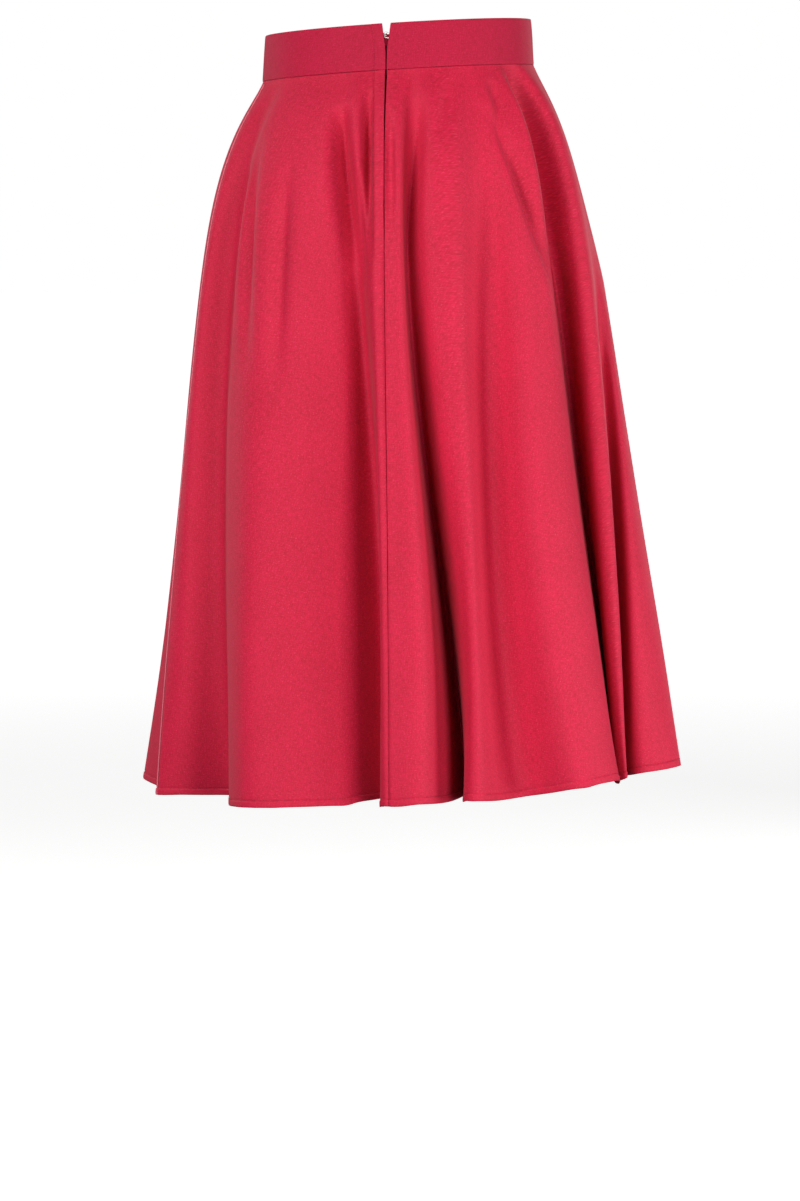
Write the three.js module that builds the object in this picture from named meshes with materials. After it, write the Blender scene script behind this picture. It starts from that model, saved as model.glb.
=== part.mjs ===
// Flared midi skirt with a waistband, a lapped zip at centre back and a hook and eye.
// Millimetres, +Z up, front of the garment towards -Y, wearer's left towards +X.
// The origin is the middle of the waistband, where the skirt is held up.

import * as THREE from 'three';

// Waistband
const BAND_HEIGHT = 45;
const BAND_PROUD = 0.5;
const BAND_FLARE = 3;
const BAND_COLUMNS = 64;

// Outline of the skirt: half width (x) and half depth (y) on three levels
const WAIST_HALF = { x: 134, y: 100 };
const HIP_HALF = { x: 171, y: 142 };
const HEM_HALF = { x: 267, y: 212 };
const HIP_REACH = 70;
const HIP_ROUNDING = 1.25;
const SKIRT_LENGTH = 715;
const TILT = 3.4;
const HEM_SWAY = 12;

// Cloth and seams
const CLOTH = 1.2;
const SEAM_GAP = 0.3;
const COLUMN_STEP = 25;
const STEEPEST = 0.2;

// Levels down the skirt, measured along the cloth from the waist seam
const SKIRT_LEVELS = [0, 22, 48, 80, 118, 170, 235, 310, 400, 500, 605, SKIRT_LENGTH];

// Fold lines in order round the skirt. turns are degrees from centre back towards the wearer's
// right at the waist seam, a third and two thirds of the way down and at the hem. reaches are how
// far the line stands out of the smooth outline at the last three of those levels. nip is how far
// it is also drawn out, or in if negative, a hand's breadth under the waistband.
const NIP_SHARE = 0.12;
const FOLDS = [
  { name: 'centre_back', turns: [-0.6, 1.2, 0.2, 0], reaches: [0, -2, -7] },
  { name: 'back_crest', turns: [7, 7, 9, 9.5], reaches: [2, 1, -2] },
  { name: 'back_hollow', turns: [14, 11, 22, 36], reaches: [-40, -82, -111] },
  { name: 'right_lip_1', turns: [19, 16.5, 21.5, 21.5], reaches: [-9, -24, -26] },
  { name: 'right_crest_1', turns: [29, 25.5, 24.6, 23.3], reaches: [-3, -6, -8] },
  { name: 'right_dip_1', turns: [40, 40.5, 38, 42], reaches: [-26, -42, -46] },
  { name: 'right_crest_2', turns: [48, 46, 43.5, 48], reaches: [-1, -2, 0] },
  { name: 'right_turn_2', turns: [56, 53, 53, 56.5], reaches: [0, -1, 2.5] },
  { name: 'right_slope_2', turns: [59, 57.6, 58.5, 61.3], reaches: [-3, -8, -3], nip: 2 },
  { name: 'right_hollow_2', turns: [67, 82.5, 82.5, 69.5], reaches: [-33, -48, -36], nip: -17 },
  { name: 'right_rise_3', turns: [73, 73.8, 68.6, 67.2], reaches: [-9, -16, -24], nip: 2 },
  { name: 'right_crest_3', turns: [76, 76.5, 70, 66], reaches: [-2, -5, -10], nip: 4 },
  { name: 'right_hollow_3', turns: [80.5, 84.5, 85, 77], reaches: [-4, -30, -46] },
  { name: 'right_crest_4', turns: [85, 87, 77.5, 70.5], reaches: [0, -4, -9] },
  { name: 'side_right', turns: [91, 92, 88, 80.5], reaches: [1, 1, 13] },
  { name: 'front_hollow_1', turns: [108, 110, 110, 110], reaches: [-28, -60, -95] },
  { name: 'front_crest_1', turns: [120, 120, 119, 118], reaches: [-2, -4, -6] },
  { name: 'front_turn_1', turns: [134, 134, 135, 136], reaches: [0, 0, 0] },
  { name: 'front_hollow_2', turns: [146, 147, 149, 152], reaches: [-30, -66, -105] },
  { name: 'front_crest_2', turns: [160, 158.5, 158, 158], reaches: [-2, -5, -8] },
  { name: 'front_turn_2', turns: [172, 172, 173, 174], reaches: [0, 1, 2] },
  { name: 'front_hollow_3', turns: [186, 187, 189, 190], reaches: [-32, -70, -110] },
  { name: 'front_crest_3', turns: [200, 199, 198, 197], reaches: [-1, -2, -4] },
  { name: 'front_turn_3', turns: [212, 212, 213, 214], reaches: [0, -1, -2] },
  { name: 'front_hollow_4', turns: [224, 225, 227, 229], reaches: [-28, -62, -100] },
  { name: 'front_crest_4', turns: [238, 237, 237, 236], reaches: [-1, -2, -4] },
  { name: 'front_hollow_5', turns: [252, 253, 253, 254], reaches: [-22, -48, -80] },
  { name: 'front_turn_5', turns: [268, 268, 268, 261.5], reaches: [0, 0, 15] },
  { name: 'left_hollow_1', turns: [276, 275, 277, 275], reaches: [-1, -6, -22] },
  { name: 'side_left', turns: [283, 283.5, 284.5, 283], reaches: [0, 1, -8] },
  { name: 'left_crest_1', turns: [289, 286.8, 289.5, 286.5], reaches: [0, -3, -30] },
  { name: 'left_hollow_2', turns: [297, 290.5, 294, 287.5], reaches: [-24, -34, -85] },
  { name: 'left_edge_2', turns: [304, 303.5, 306, 307.3], reaches: [-7, -14, -34] },
  { name: 'left_crest_2', turns: [312, 318, 318, 320.5], reaches: [0, 0, -9] },
  { name: 'left_turn_2', turns: [326, 333, 331, 334], reaches: [-3, -14, -21] },
  { name: 'left_shoulder_3', turns: [338, 344, 343, 346.5], reaches: [-15, -45, -57] },
  { name: 'left_hollow_3', turns: [345, 349.5, 353, 355.5], reaches: [-38, -78, -97], nip: 9 },
  { name: 'back_ridge', turns: [354, 358, 358.3, 357.4], reaches: [2, 0, -18] },
];

// Gap between the waistband ends at centre back, by height above the waist seam
const BAND_LEVELS = [
  { height: 0.3, gap: 1 },
  { height: 18, gap: 1.3 },
  { height: 33, gap: 5 },
  { height: BAND_HEIGHT, gap: 8.2 },
];

// Zip, behind the lap: along is measured round the skirt from the centre back opening
const ZIP_TOP = 24;
const ZIP_LEVELS = [-ZIP_TOP, 0, 22, 48, 80, 118, 170];
const ZIP_CENTRE = -6;
const CHAIN_WIDTH = 4.4;
const CHAIN_DEEP = 1.5;
const TAPE_WIDTH = 9;
const TAPE_DEEP = 0.6;
const TAPE_AT_CHAIN = 3.9;
const TAPE_SEAT = 0.7;
const SLIDER = { wide: 6.4, tall: 8.5, plate: 0.8, post: 2, front: 2.6, back: 5.8 };
const PULL = { wide: 4, tall: 14, deep: 0.8 };
const STOP = { wide: 5, tall: 2, deep: 2, below: 0.6 };

// Hook and eye: wire routes as along, height above the band's middle, and depth behind its face
const WIRE = 1.2;
const WIRE_SIDES = 8;
const WIRE_STEPS = 44;
const HOOK_HEIGHT = 11.4;
const HOOK_ROUTE = [
  { along: -7.5, rise: -2.8, depth: 2.6 },
  { along: -3.7, rise: -1.4, depth: 2.6 },
  { along: -1.2, rise: -1, depth: 1.6 },
  { along: -0.2, rise: -1, depth: 3.25 },
  { along: -1.2, rise: -1, depth: 4.9 },
  { along: -3.2, rise: 0, depth: 4.95 },
  { along: -1.2, rise: 1, depth: 4.9 },
  { along: -0.2, rise: 1, depth: 3.25 },
  { along: -1.2, rise: 1, depth: 1.6 },
  { along: -3.7, rise: 1.4, depth: 2.6 },
  { along: -7.5, rise: 2.8, depth: 2.6 },
];
const EYE_ROUTE = [
  { along: 8, rise: -3, depth: 2.7 },
  { along: 4.6, rise: -2.8, depth: 2.9 },
  { along: 2.2, rise: -2.8, depth: 3.1 },
  { along: 0, rise: -2.7, depth: 3.25 },
  { along: -1.5, rise: -2.1, depth: 3.25 },
  { along: -2, rise: 0, depth: 3.25 },
  { along: -1.5, rise: 2.1, depth: 3.25 },
  { along: 0, rise: 2.7, depth: 3.25 },
  { along: 2.2, rise: 2.8, depth: 3.1 },
  { along: 4.6, rise: 2.8, depth: 2.9 },
  { along: 8, rise: 3, depth: 2.7 },
];

// Finishes
const clothFinish = new THREE.MeshStandardMaterial({ color: 0xc62845, roughness: 0.85, metalness: 0 });
const tapeFinish = new THREE.MeshStandardMaterial({ color: 0xa01830, roughness: 0.9, metalness: 0 });
const metalFinish = new THREE.MeshStandardMaterial({ color: 0xc9c9cc, roughness: 0.3, metalness: 1 });

const radians = THREE.MathUtils.degToRad;
const lerp = THREE.MathUtils.lerp;

// Half width or half depth of the smooth outline, by distance below the waist seam
function outlineHalf(axis, drop) {
  if (drop <= 0) {
    return WAIST_HALF[axis] + (BAND_FLARE * drop) / BAND_HEIGHT;
  }
  const flare = lerp(HIP_HALF[axis], HEM_HALF[axis], drop / SKIRT_LENGTH);
  const hip = (HIP_HALF[axis] - WAIST_HALF[axis]) * Math.exp(-((drop / HIP_REACH) ** HIP_ROUNDING));
  return flare - hip;
}

// Smooth value at a share of the skirt's length, through four values a third of the length apart
function through([a, b, c, d], share) {
  const t = 3 * share;
  const ends = (a * (1 - t) * (3 - t) + d * t * (1 - t)) * (2 - t);
  const middles = (b * (2 - t) - c * (1 - t)) * t * (3 - t);
  return ends / 6 + middles / 2;
}

// Plan point of one fold line at a distance below the waist seam
function foldPoint(fold, drop) {
  const share = Math.max(0, drop) / SKIRT_LENGTH;
  const turn = radians(through(fold.turns, share));
  const across = Math.sin(turn);
  const along = Math.cos(turn);
  const smooth = 1 / Math.hypot(across / outlineHalf('x', drop), along / outlineHalf('y', drop));
  const nip = ((fold.nip ?? 0) * share) / NIP_SHARE;
  const reach = through([0, ...fold.reaches], share) + nip * Math.exp(1 - share / NIP_SHARE);
  const radius = smooth + reach;
  return new THREE.Vector3(-radius * across, radius * along, 0);
}

// Closed plan curve of the cloth's outer face; it starts at centre back
function planCurve(drop) {
  const points = FOLDS.map((fold) => foldPoint(fold, drop));
  const curve = new THREE.CatmullRomCurve3(points, true, 'centripetal');
  curve.arcLengthDivisions = 1200;
  return curve;
}

// Share of a closed plan curve at a fold line
function foldShare(name) {
  return FOLDS.findIndex((fold) => fold.name === name) / FOLDS.length;
}

// Share of a plan curve that lies a distance further round than another share
function further(curve, share, distance) {
  const lengths = curve.getLengths();
  const total = lengths[lengths.length - 1];
  const place = share * (lengths.length - 1);
  const low = Math.min(Math.floor(place), lengths.length - 2);
  const start = lerp(lengths[low], lengths[low + 1], place - low);
  const end = start + distance;
  return curve.getUtoTmapping(0, end < 0 ? end + total : end);
}

// Lift of a level where the wearer's stance tilts it, and sideways sway of the hem
function stance(point, drop) {
  const lift = -point.x * Math.tan(radians(TILT));
  const sway = -HEM_SWAY * THREE.MathUtils.smoothstep(drop / SKIRT_LENGTH, 0.2, 0.9);
  return new THREE.Vector3(point.x + sway, point.y, point.z + lift);
}

// Points and outward normals of the cloth's outer face: one column per entry of shares, one point
// per level. A column keeps the same length of cloth between levels, so folds lift the hem.
function clothFace(drops, shares) {
  const lead = SKIRT_LEVELS.filter((drop) => drop < drops[0]);
  const levels = [...lead, ...drops];
  const curves = levels.map(planCurve);
  const columns = shares.map((shareOn) => {
    const flat = curves.map((curve, level) => curve.getPoint(shareOn(curve, level - lead.length)));
    let height = -BAND_HEIGHT / 2 - Math.min(0, drops[0]);
    return flat.map((point, level) => {
      if (level > 0) {
        const cloth = levels[level] - levels[level - 1];
        const outwards = point.distanceTo(flat[level - 1]);
        height -= Math.sqrt(Math.max(cloth ** 2 - outwards ** 2, STEEPEST * cloth ** 2));
      }
      return stance(point.clone().setZ(height), levels[level]);
    });
  });
  const points = columns.map((column) => column.slice(lead.length));
  const normals = points.map((column, c) => column.map((point, level) => {
    const curve = curves[level + lead.length];
    const round = curve.getTangent(shares[c](curve, level));
    const above = column[Math.max(0, level - 1)];
    const below = column[Math.min(column.length - 1, level + 1)];
    return new THREE.Vector3().subVectors(below, above).cross(round).normalize();
  }));
  return { points, normals };
}

// Grid of a cloth face moved inwards along its normals by a depth that may differ by column
function inward(face, depthOf) {
  return face.points.map((column, c) => column.map(
    (point, level) => point.clone().addScaledVector(face.normals[c][level], -depthOf(c)),
  ));
}

// Closed wall between an outer and an inner grid of the same columns and levels
function wallGeometry(outer, inner) {
  const columns = outer.length;
  const levels = outer[0].length;
  const count = columns * levels;
  const positions = [...outer.flat(), ...inner.flat()].flatMap((point) => point.toArray());
  const at = (c, level, side) => side * count + c * levels + level;
  const index = [];
  const quad = (a, b, c, d) => index.push(a, c, b, a, d, c);
  for (let c = 0; c < columns - 1; c += 1) {
    for (let level = 0; level < levels - 1; level += 1) {
      quad(at(c, level, 0), at(c + 1, level, 0), at(c + 1, level + 1, 0), at(c, level + 1, 0));
      quad(at(c, level, 1), at(c, level + 1, 1), at(c + 1, level + 1, 1), at(c + 1, level, 1));
    }
    quad(at(c, 0, 0), at(c, 0, 1), at(c + 1, 0, 1), at(c + 1, 0, 0));
    quad(at(c, levels - 1, 0), at(c + 1, levels - 1, 0), at(c + 1, levels - 1, 1), at(c, levels - 1, 1));
  }
  for (let level = 0; level < levels - 1; level += 1) {
    quad(at(0, level, 0), at(0, level + 1, 0), at(0, level + 1, 1), at(0, level, 1));
    const end = columns - 1;
    quad(at(end, level, 0), at(end, level, 1), at(end, level + 1, 1), at(end, level + 1, 0));
  }
  const geometry = new THREE.BufferGeometry();
  geometry.setAttribute('position', new THREE.Float32BufferAttribute(positions, 3));
  geometry.setIndex(index);
  geometry.computeVertexNormals();
  return geometry;
}

function piece(name, geometry, finish) {
  const mesh = new THREE.Mesh(geometry, finish);
  mesh.name = name;
  return mesh;
}

// Shares of the columns of a panel between two fold lines, with half a seam gap at both edges
function panelShares(first, last) {
  const hem = planCurve(SKIRT_LENGTH);
  const lengths = hem.getLengths();
  const lengthTo = (line) => lengths[Math.round((line / FOLDS.length) * (lengths.length - 1))];
  const shares = [];
  for (let line = first; line < last; line += 1) {
    const columns = Math.max(2, Math.round((lengthTo(line + 1) - lengthTo(line)) / COLUMN_STEP));
    for (let step = 0; step < columns; step += 1) {
      const share = (line + step / columns) / FOLDS.length;
      shares.push(() => share);
    }
  }
  shares[0] = (curve) => further(curve, first / FOLDS.length, SEAM_GAP / 2);
  shares.push((curve) => further(curve, last / FOLDS.length, -SEAM_GAP / 2));
  return shares;
}

function panel(name, first, last) {
  const face = clothFace(SKIRT_LEVELS, panelShares(first, last));
  return piece(name, wallGeometry(face.points, inward(face, () => CLOTH)), clothFinish);
}

function waistband() {
  const drops = BAND_LEVELS.map((row) => -row.height).reverse();
  const gaps = BAND_LEVELS.map((row) => row.gap).reverse();
  const shares = [];
  for (let c = 0; c <= BAND_COLUMNS; c += 1) {
    shares.push((curve, level) => {
      const first = further(curve, 0, gaps[level] / 2);
      const last = further(curve, 1, -gaps[level] / 2);
      return lerp(first, last, c / BAND_COLUMNS);
    });
  }
  const face = clothFace(drops, shares);
  const outer = inward(face, () => -BAND_PROUD);
  return piece('waistband', wallGeometry(outer, inward(face, () => CLOTH)), clothFinish);
}

// Strip behind the lap between two places along the ring, with its own depths at both edges
function zipStrip(name, levels, edges, deep, finish) {
  const shares = edges.map((edge) => (curve) => further(curve, 0, edge.along));
  const face = clothFace(levels, shares);
  const outer = inward(face, (c) => edges[c].depth);
  const inner = inward(face, (c) => edges[c].depth + deep);
  return piece(name, wallGeometry(outer, inner), finish);
}

function zipTape(name, side) {
  const atChain = ZIP_CENTRE + side * (CHAIN_WIDTH / 2 + SEAM_GAP);
  const edges = [
    { along: atChain, depth: TAPE_AT_CHAIN },
    { along: atChain + side * TAPE_WIDTH, depth: CLOTH + TAPE_SEAT },
  ];
  return zipStrip(name, ZIP_LEVELS, side > 0 ? edges : edges.reverse(), TAPE_DEEP, tapeFinish);
}

function zipChain() {
  const depth = TAPE_AT_CHAIN + (TAPE_DEEP - CHAIN_DEEP) / 2;
  const top = -ZIP_TOP + SLIDER.tall + SEAM_GAP;
  const edges = [-1, 1].map((side) => ({ along: ZIP_CENTRE + (side * CHAIN_WIDTH) / 2, depth }));
  const levels = [top, ...ZIP_LEVELS.slice(1)];
  return zipStrip('zip_chain', levels, edges, CHAIN_DEEP, tapeFinish);
}

// Frame on the cloth at a place along centre back: x runs round, y up and z out of the cloth
function clothFrame(along, drop) {
  const step = 2;
  const shares = [-step, 0, step].map((d) => (curve) => further(curve, 0, along + d));
  const face = clothFace([drop - step, drop, drop + step], shares);
  const [above, middle, below] = face.points[1];
  const normal = face.normals[1][1];
  const up = new THREE.Vector3().subVectors(above, below).normalize();
  const round = new THREE.Vector3().crossVectors(up, normal).normalize();
  const frame = new THREE.Group();
  frame.matrix.makeBasis(round, new THREE.Vector3().crossVectors(normal, round), normal);
  frame.matrix.setPosition(middle);
  frame.matrix.decompose(frame.position, frame.quaternion, frame.scale);
  return frame;
}

// Slider of two plates joined by a post, so that the tapes pass between the plates
function zipSlider() {
  const { wide, tall, plate, post, front, back } = SLIDER;
  const section = new THREE.Shape();
  section.moveTo(-wide / 2, -front);
  section.lineTo(-wide / 2, -front - plate);
  section.lineTo(-post / 2, -front - plate);
  section.lineTo(-post / 2, -back + plate);
  section.lineTo(-wide / 2, -back + plate);
  section.lineTo(-wide / 2, -back);
  section.lineTo(wide / 2, -back);
  section.lineTo(wide / 2, -back + plate);
  section.lineTo(post / 2, -back + plate);
  section.lineTo(post / 2, -front - plate);
  section.lineTo(wide / 2, -front - plate);
  section.lineTo(wide / 2, -front);
  section.closePath();
  const body = new THREE.ExtrudeGeometry(section, { depth: tall, bevelEnabled: false });
  body.rotateX(Math.PI / 2);
  body.translate(0, tall / 2, 0);
  return piece('zip_slider', body, metalFinish);
}

function zipPull() {
  const outline = new THREE.Shape();
  const half = PULL.wide / 2;
  outline.moveTo(-half, 0);
  outline.lineTo(-half, half - PULL.tall);
  outline.absarc(0, half - PULL.tall, half, Math.PI, 2 * Math.PI, false);
  outline.lineTo(half, 0);
  outline.closePath();
  const eye = new THREE.Path();
  eye.absarc(0, -2.2, 1, 0, 2 * Math.PI, true);
  outline.holes.push(eye);
  const tab = new THREE.ExtrudeGeometry(outline, { depth: PULL.deep, bevelEnabled: false, curveSegments: 8 });
  tab.translate(0, SLIDER.tall / 4, -CLOTH - SEAM_GAP - PULL.deep);
  return piece('zip_pull', tab, metalFinish);
}

function zipStop() {
  const block = new THREE.BoxGeometry(STOP.wide, STOP.tall, STOP.deep);
  block.translate(0, -STOP.tall / 2 - STOP.below, -TAPE_AT_CHAIN - TAPE_DEEP / 2);
  return piece('zip_stop', block, metalFinish);
}

// Bent wire on the inside of the waistband
function wire(name, route) {
  const points = route.map(({ along, rise, depth }) => new THREE.Vector3(along, rise, -depth));
  const path = new THREE.CatmullRomCurve3(points, false, 'centripetal');
  const section = new THREE.Shape();
  section.absarc(0, 0, WIRE / 2, 0, 2 * Math.PI, false);
  const tube = new THREE.ExtrudeGeometry(section, {
    steps: WIRE_STEPS,
    curveSegments: WIRE_SIDES,
    extrudePath: path,
  });
  return piece(name, tube, metalFinish);
}

const skirt = new THREE.Group();

const rightSeam = foldShare('side_right') * FOLDS.length;
const leftSeam = foldShare('side_left') * FOLDS.length;
skirt.add(waistband());
skirt.add(panel('back_right_panel', 0, rightSeam));
skirt.add(panel('front_panel', rightSeam, leftSeam));
skirt.add(panel('back_left_panel', leftSeam, FOLDS.length));

skirt.add(zipTape('zip_tape_left', -1));
skirt.add(zipTape('zip_tape_right', 1));
skirt.add(zipChain());

const sliderFrame = clothFrame(ZIP_CENTRE, -ZIP_TOP + SLIDER.tall / 2);
sliderFrame.add(zipSlider(), zipPull());
skirt.add(sliderFrame);

const stopFrame = clothFrame(ZIP_CENTRE, ZIP_LEVELS[ZIP_LEVELS.length - 1]);
stopFrame.add(zipStop());
skirt.add(stopFrame);

const hookFrame = clothFrame(0, -BAND_HEIGHT / 2 - HOOK_HEIGHT);
hookFrame.add(wire('hook', HOOK_ROUTE), wire('eye', EYE_ROUTE));
skirt.add(hookFrame);

export default skirt;
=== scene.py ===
"""Flared midi skirt with a waistband, a lapped zip at centre back and a hook and eye.

Lengths are millimetres until a mesh is written, which is in metres. +Z is up, the front of the skirt
faces -Y and its left side, as worn, is +X. A turn, or a length along the ring of the skirt, starts at
centre back and grows towards the right side. A drop is a length of cloth below the waist seam.
"""

import logging
import math
from collections.abc import Sequence
from dataclasses import dataclass, field
from enum import Enum

import bmesh
import bpy
import numpy as np
from mathutils import Matrix, Vector, noise


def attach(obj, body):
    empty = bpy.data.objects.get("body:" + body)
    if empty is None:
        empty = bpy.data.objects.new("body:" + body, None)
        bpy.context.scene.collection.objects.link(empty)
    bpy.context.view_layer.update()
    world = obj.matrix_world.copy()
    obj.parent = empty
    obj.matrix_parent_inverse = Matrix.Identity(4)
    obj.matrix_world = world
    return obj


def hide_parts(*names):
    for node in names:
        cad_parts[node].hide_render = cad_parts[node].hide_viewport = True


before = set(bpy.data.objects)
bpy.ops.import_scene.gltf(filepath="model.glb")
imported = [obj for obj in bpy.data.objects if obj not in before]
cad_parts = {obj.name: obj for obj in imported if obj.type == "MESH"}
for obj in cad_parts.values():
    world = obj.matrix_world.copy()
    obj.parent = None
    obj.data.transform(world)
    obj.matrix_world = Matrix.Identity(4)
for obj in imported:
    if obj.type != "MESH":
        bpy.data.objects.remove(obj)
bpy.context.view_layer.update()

Array = np.ndarray
Colour = tuple[float, float, float, float]
Pair = tuple[float, float]
Point = tuple[float, float, float]
Material = bpy.types.Material
Mesh = bpy.types.Mesh
Piece = bpy.types.Object
Tree = bpy.types.NodeTree
NodeInputs = dict[str | int, object]
Shading = tuple[NodeInputs, NodeInputs]
log = logging.getLogger("skirt")

BODY = "root"
CUT_MAP = "cut"
METRE = 1000.0


class Slot(Enum):
    """Material slots of the part."""

    CLOTH = "cloth"
    ZIP_TAPE = "zip_tape"
    ZIP_COIL = "zip_coil"
    METAL = "metal"


class Edge(Enum):
    """How the edge of a panel is sewn."""

    LAP = "lap over the zip"
    UNDERLAP = "edge under the lap"
    SIDE = "pressed side seam"


@dataclass(frozen=True)
class SewingPlan:
    """Where the skirt is sewn: lap of the zip, end of the zip opening and depth of the hem."""

    lap_wide: float = 11.5
    zip_end: float = 172.0
    hem_deep: float = 7.0


@dataclass(frozen=True)
class FoldLine:
    """One line down the skirt where the cloth crests, turns or hollows.

    turns are degrees at the waist seam, a third and two thirds of the way down and at the hem.
    reaches are how far the line stands out of the smooth outline at the last three of those levels.
    nip is how far it is also drawn out, or in if negative, a hand's breadth under the waistband.
    """

    name: str
    turns: tuple[float, float, float, float]
    reaches: tuple[float, float, float]
    nip: float = 0.0


@dataclass(frozen=True)
class Crease:
    """One short soft trough in the cloth.

    turns and shares of the skirt's length are those of its upper and lower end. lean is the angle
    that the trough runs in at, from straight in towards the middle of the skirt.
    """

    turns: Pair
    shares: Pair
    depth: float
    width: float
    lean: float = 0.0


FOLD_LINES = (
    FoldLine("centre_back", (-0.6, 1.2, 0.2, 0), (0, -2, -7)),
    FoldLine("back_crest", (7, 7, 9, 9.5), (2, 1, -2)),
    FoldLine("back_hollow", (14, 11, 22, 36), (-40, -82, -111)),
    FoldLine("right_lip_1", (19, 16.5, 21.5, 21.5), (-9, -24, -26)),
    FoldLine("right_crest_1", (29, 25.5, 24.6, 23.3), (-3, -6, -8)),
    FoldLine("right_dip_1", (40, 40.5, 38, 42), (-26, -42, -46)),
    FoldLine("right_crest_2", (48, 46, 43.5, 48), (-1, -2, 0)),
    FoldLine("right_turn_2", (56, 53, 53, 56.5), (0, -1, 2.5)),
    FoldLine("right_slope_2", (59, 57.6, 58.5, 61.3), (-3, -8, -3), 2),
    FoldLine("right_hollow_2", (67, 82.5, 82.5, 69.5), (-33, -48, -36), -17),
    FoldLine("right_rise_3", (73, 73.8, 68.6, 67.2), (-9, -16, -24), 2),
    FoldLine("right_crest_3", (76, 76.5, 70, 66), (-2, -5, -10), 4),
    FoldLine("right_hollow_3", (80.5, 84.5, 85, 77), (-4, -30, -46)),
    FoldLine("right_crest_4", (85, 87, 77.5, 70.5), (0, -4, -9)),
    FoldLine("side_right", (91, 92, 88, 80.5), (1, 1, 13)),
    FoldLine("front_hollow_1", (108, 110, 110, 110), (-28, -60, -95)),
    FoldLine("front_crest_1", (120, 120, 119, 118), (-2, -4, -6)),
    FoldLine("front_turn_1", (134, 134, 135, 136), (0, 0, 0)),
    FoldLine("front_hollow_2", (146, 147, 149, 152), (-30, -66, -105)),
    FoldLine("front_crest_2", (160, 158.5, 158, 158), (-2, -5, -8)),
    FoldLine("front_turn_2", (172, 172, 173, 174), (0, 1, 2)),
    FoldLine("front_hollow_3", (186, 187, 189, 190), (-32, -70, -110)),
    FoldLine("front_crest_3", (200, 199, 198, 197), (-1, -2, -4)),
    FoldLine("front_turn_3", (212, 212, 213, 214), (0, -1, -2)),
    FoldLine("front_hollow_4", (224, 225, 227, 229), (-28, -62, -100)),
    FoldLine("front_crest_4", (238, 237, 237, 236), (-1, -2, -4)),
    FoldLine("front_hollow_5", (252, 253, 253, 254), (-22, -48, -80)),
    FoldLine("front_turn_5", (268, 268, 268, 261.5), (0, 0, 15)),
    FoldLine("left_hollow_1", (276, 275, 277, 275), (-1, -6, -22)),
    FoldLine("side_left", (283, 283.5, 284.5, 283), (0, 1, -8)),
    FoldLine("left_crest_1", (289, 286.8, 289.5, 286.5), (0, -3, -30)),
    FoldLine("left_hollow_2", (297, 290.5, 294, 287.5), (-24, -34, -85)),
    FoldLine("left_edge_2", (304, 303.5, 306, 307.3), (-7, -14, -34)),
    FoldLine("left_crest_2", (312, 318, 318, 320.5), (0, 0, -9)),
    FoldLine("left_turn_2", (326, 333, 331, 334), (-3, -14, -21)),
    FoldLine("left_shoulder_3", (338, 344, 343, 346.5), (-15, -45, -57)),
    FoldLine("left_hollow_3", (345, 349.5, 353, 355.5), (-38, -78, -97), 9),
    FoldLine("back_ridge", (354, 358, 358.3, 357.4), (2, 0, -18)),
)

CREASES = (
    Crease((-20.0, -11.0), (0.05, 0.28), 24.0, 8.0, 10.0),
    Crease((-8.6, -3.4), (0.025, 0.28), 17.0, 5.0),
    Crease((-10.0, -6.2), (0.14, 0.3), 6.0, 4.0),
    Crease((2.8, 3.8), (0.06, 0.26), 5.0, 4.0),
    Crease((16.5, 9.5), (0.04, 0.28), 12.0, 6.0),
    Crease((33, 21), (0.015, 0.12), 4.0, 7.0),
    Crease((52, 50), (0.02, 0.12), 6.0, 7.0),
    Crease((46.5, 59.5), (0.06, 0.33), 12.0, 8.0),
    Crease((92, 92), (0.0, 0.32), 6.0, 60.0),
    Crease((-57.5, -46.5), (0.08, 0.42), 8.0, 9.0),
    Crease((-38, -35.5), (0.12, 0.45), 7.0, 10.0),
    Crease((-64.5, -59), (0.12, 0.46), 10.0, 8.0, 30.0),
)


def ramp(value: Array, low: float, high: float) -> Array:
    """Smooth share from 0 at low to 1 at high."""
    t = np.clip((value - low) / (high - low), 0.0, 1.0)
    return t * t * (3.0 - 2.0 * t)


def bell(value: Array, middle: float, width: float) -> Array:
    """Bell curve of height 1 about a middle."""
    return np.exp(-(((value - middle) / width) ** 2))


def through(values: Sequence[Array], share: float) -> Array:
    """Smooth value at a share of the length, through four values a third of the length apart.

    Args:
        values: The four values, each an array with one entry per fold line.
        share: Share of the skirt's length, from 0 at the waist seam to 1 at the hem.

    Returns:
        One value per fold line.
    """
    a, b, c, d = values
    t = 3.0 * share
    ends = (a * (1 - t) * (3 - t) + d * t * (1 - t)) * (2 - t)
    middles = (b * (2 - t) - c * (1 - t)) * t * (3 - t)
    return ends / 6 + middles / 2


def on_line(wanted: Array, place: Array, values: Array) -> Array:
    """Values at lengths along a line.

    Args:
        wanted: Lengths along the line.
        place: Known lengths along the line.
        values: Rows of values at the known lengths.

    Returns:
        One row per wanted length.
    """
    return np.stack([np.interp(wanted, place, column) for column in values.T], axis=1)


def span(start: Array, end: Array, leave: Array, arrive: Array, count: int) -> Array:
    """Smooth span from one point up to the next.

    Args:
        start: First point.
        end: Next point.
        leave: Direction and speed at the first point.
        arrive: Direction and speed at the next point.
        count: Number of steps.

    Returns:
        Points along the span, one row each, without the next point.
    """
    f = (np.arange(count) / count)[:, None]
    bend = 3 * (end - start) - 2 * leave - arrive
    twist = 2 * (start - end) + leave + arrive
    return start + leave * f + bend * f**2 + twist * f**3


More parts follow.
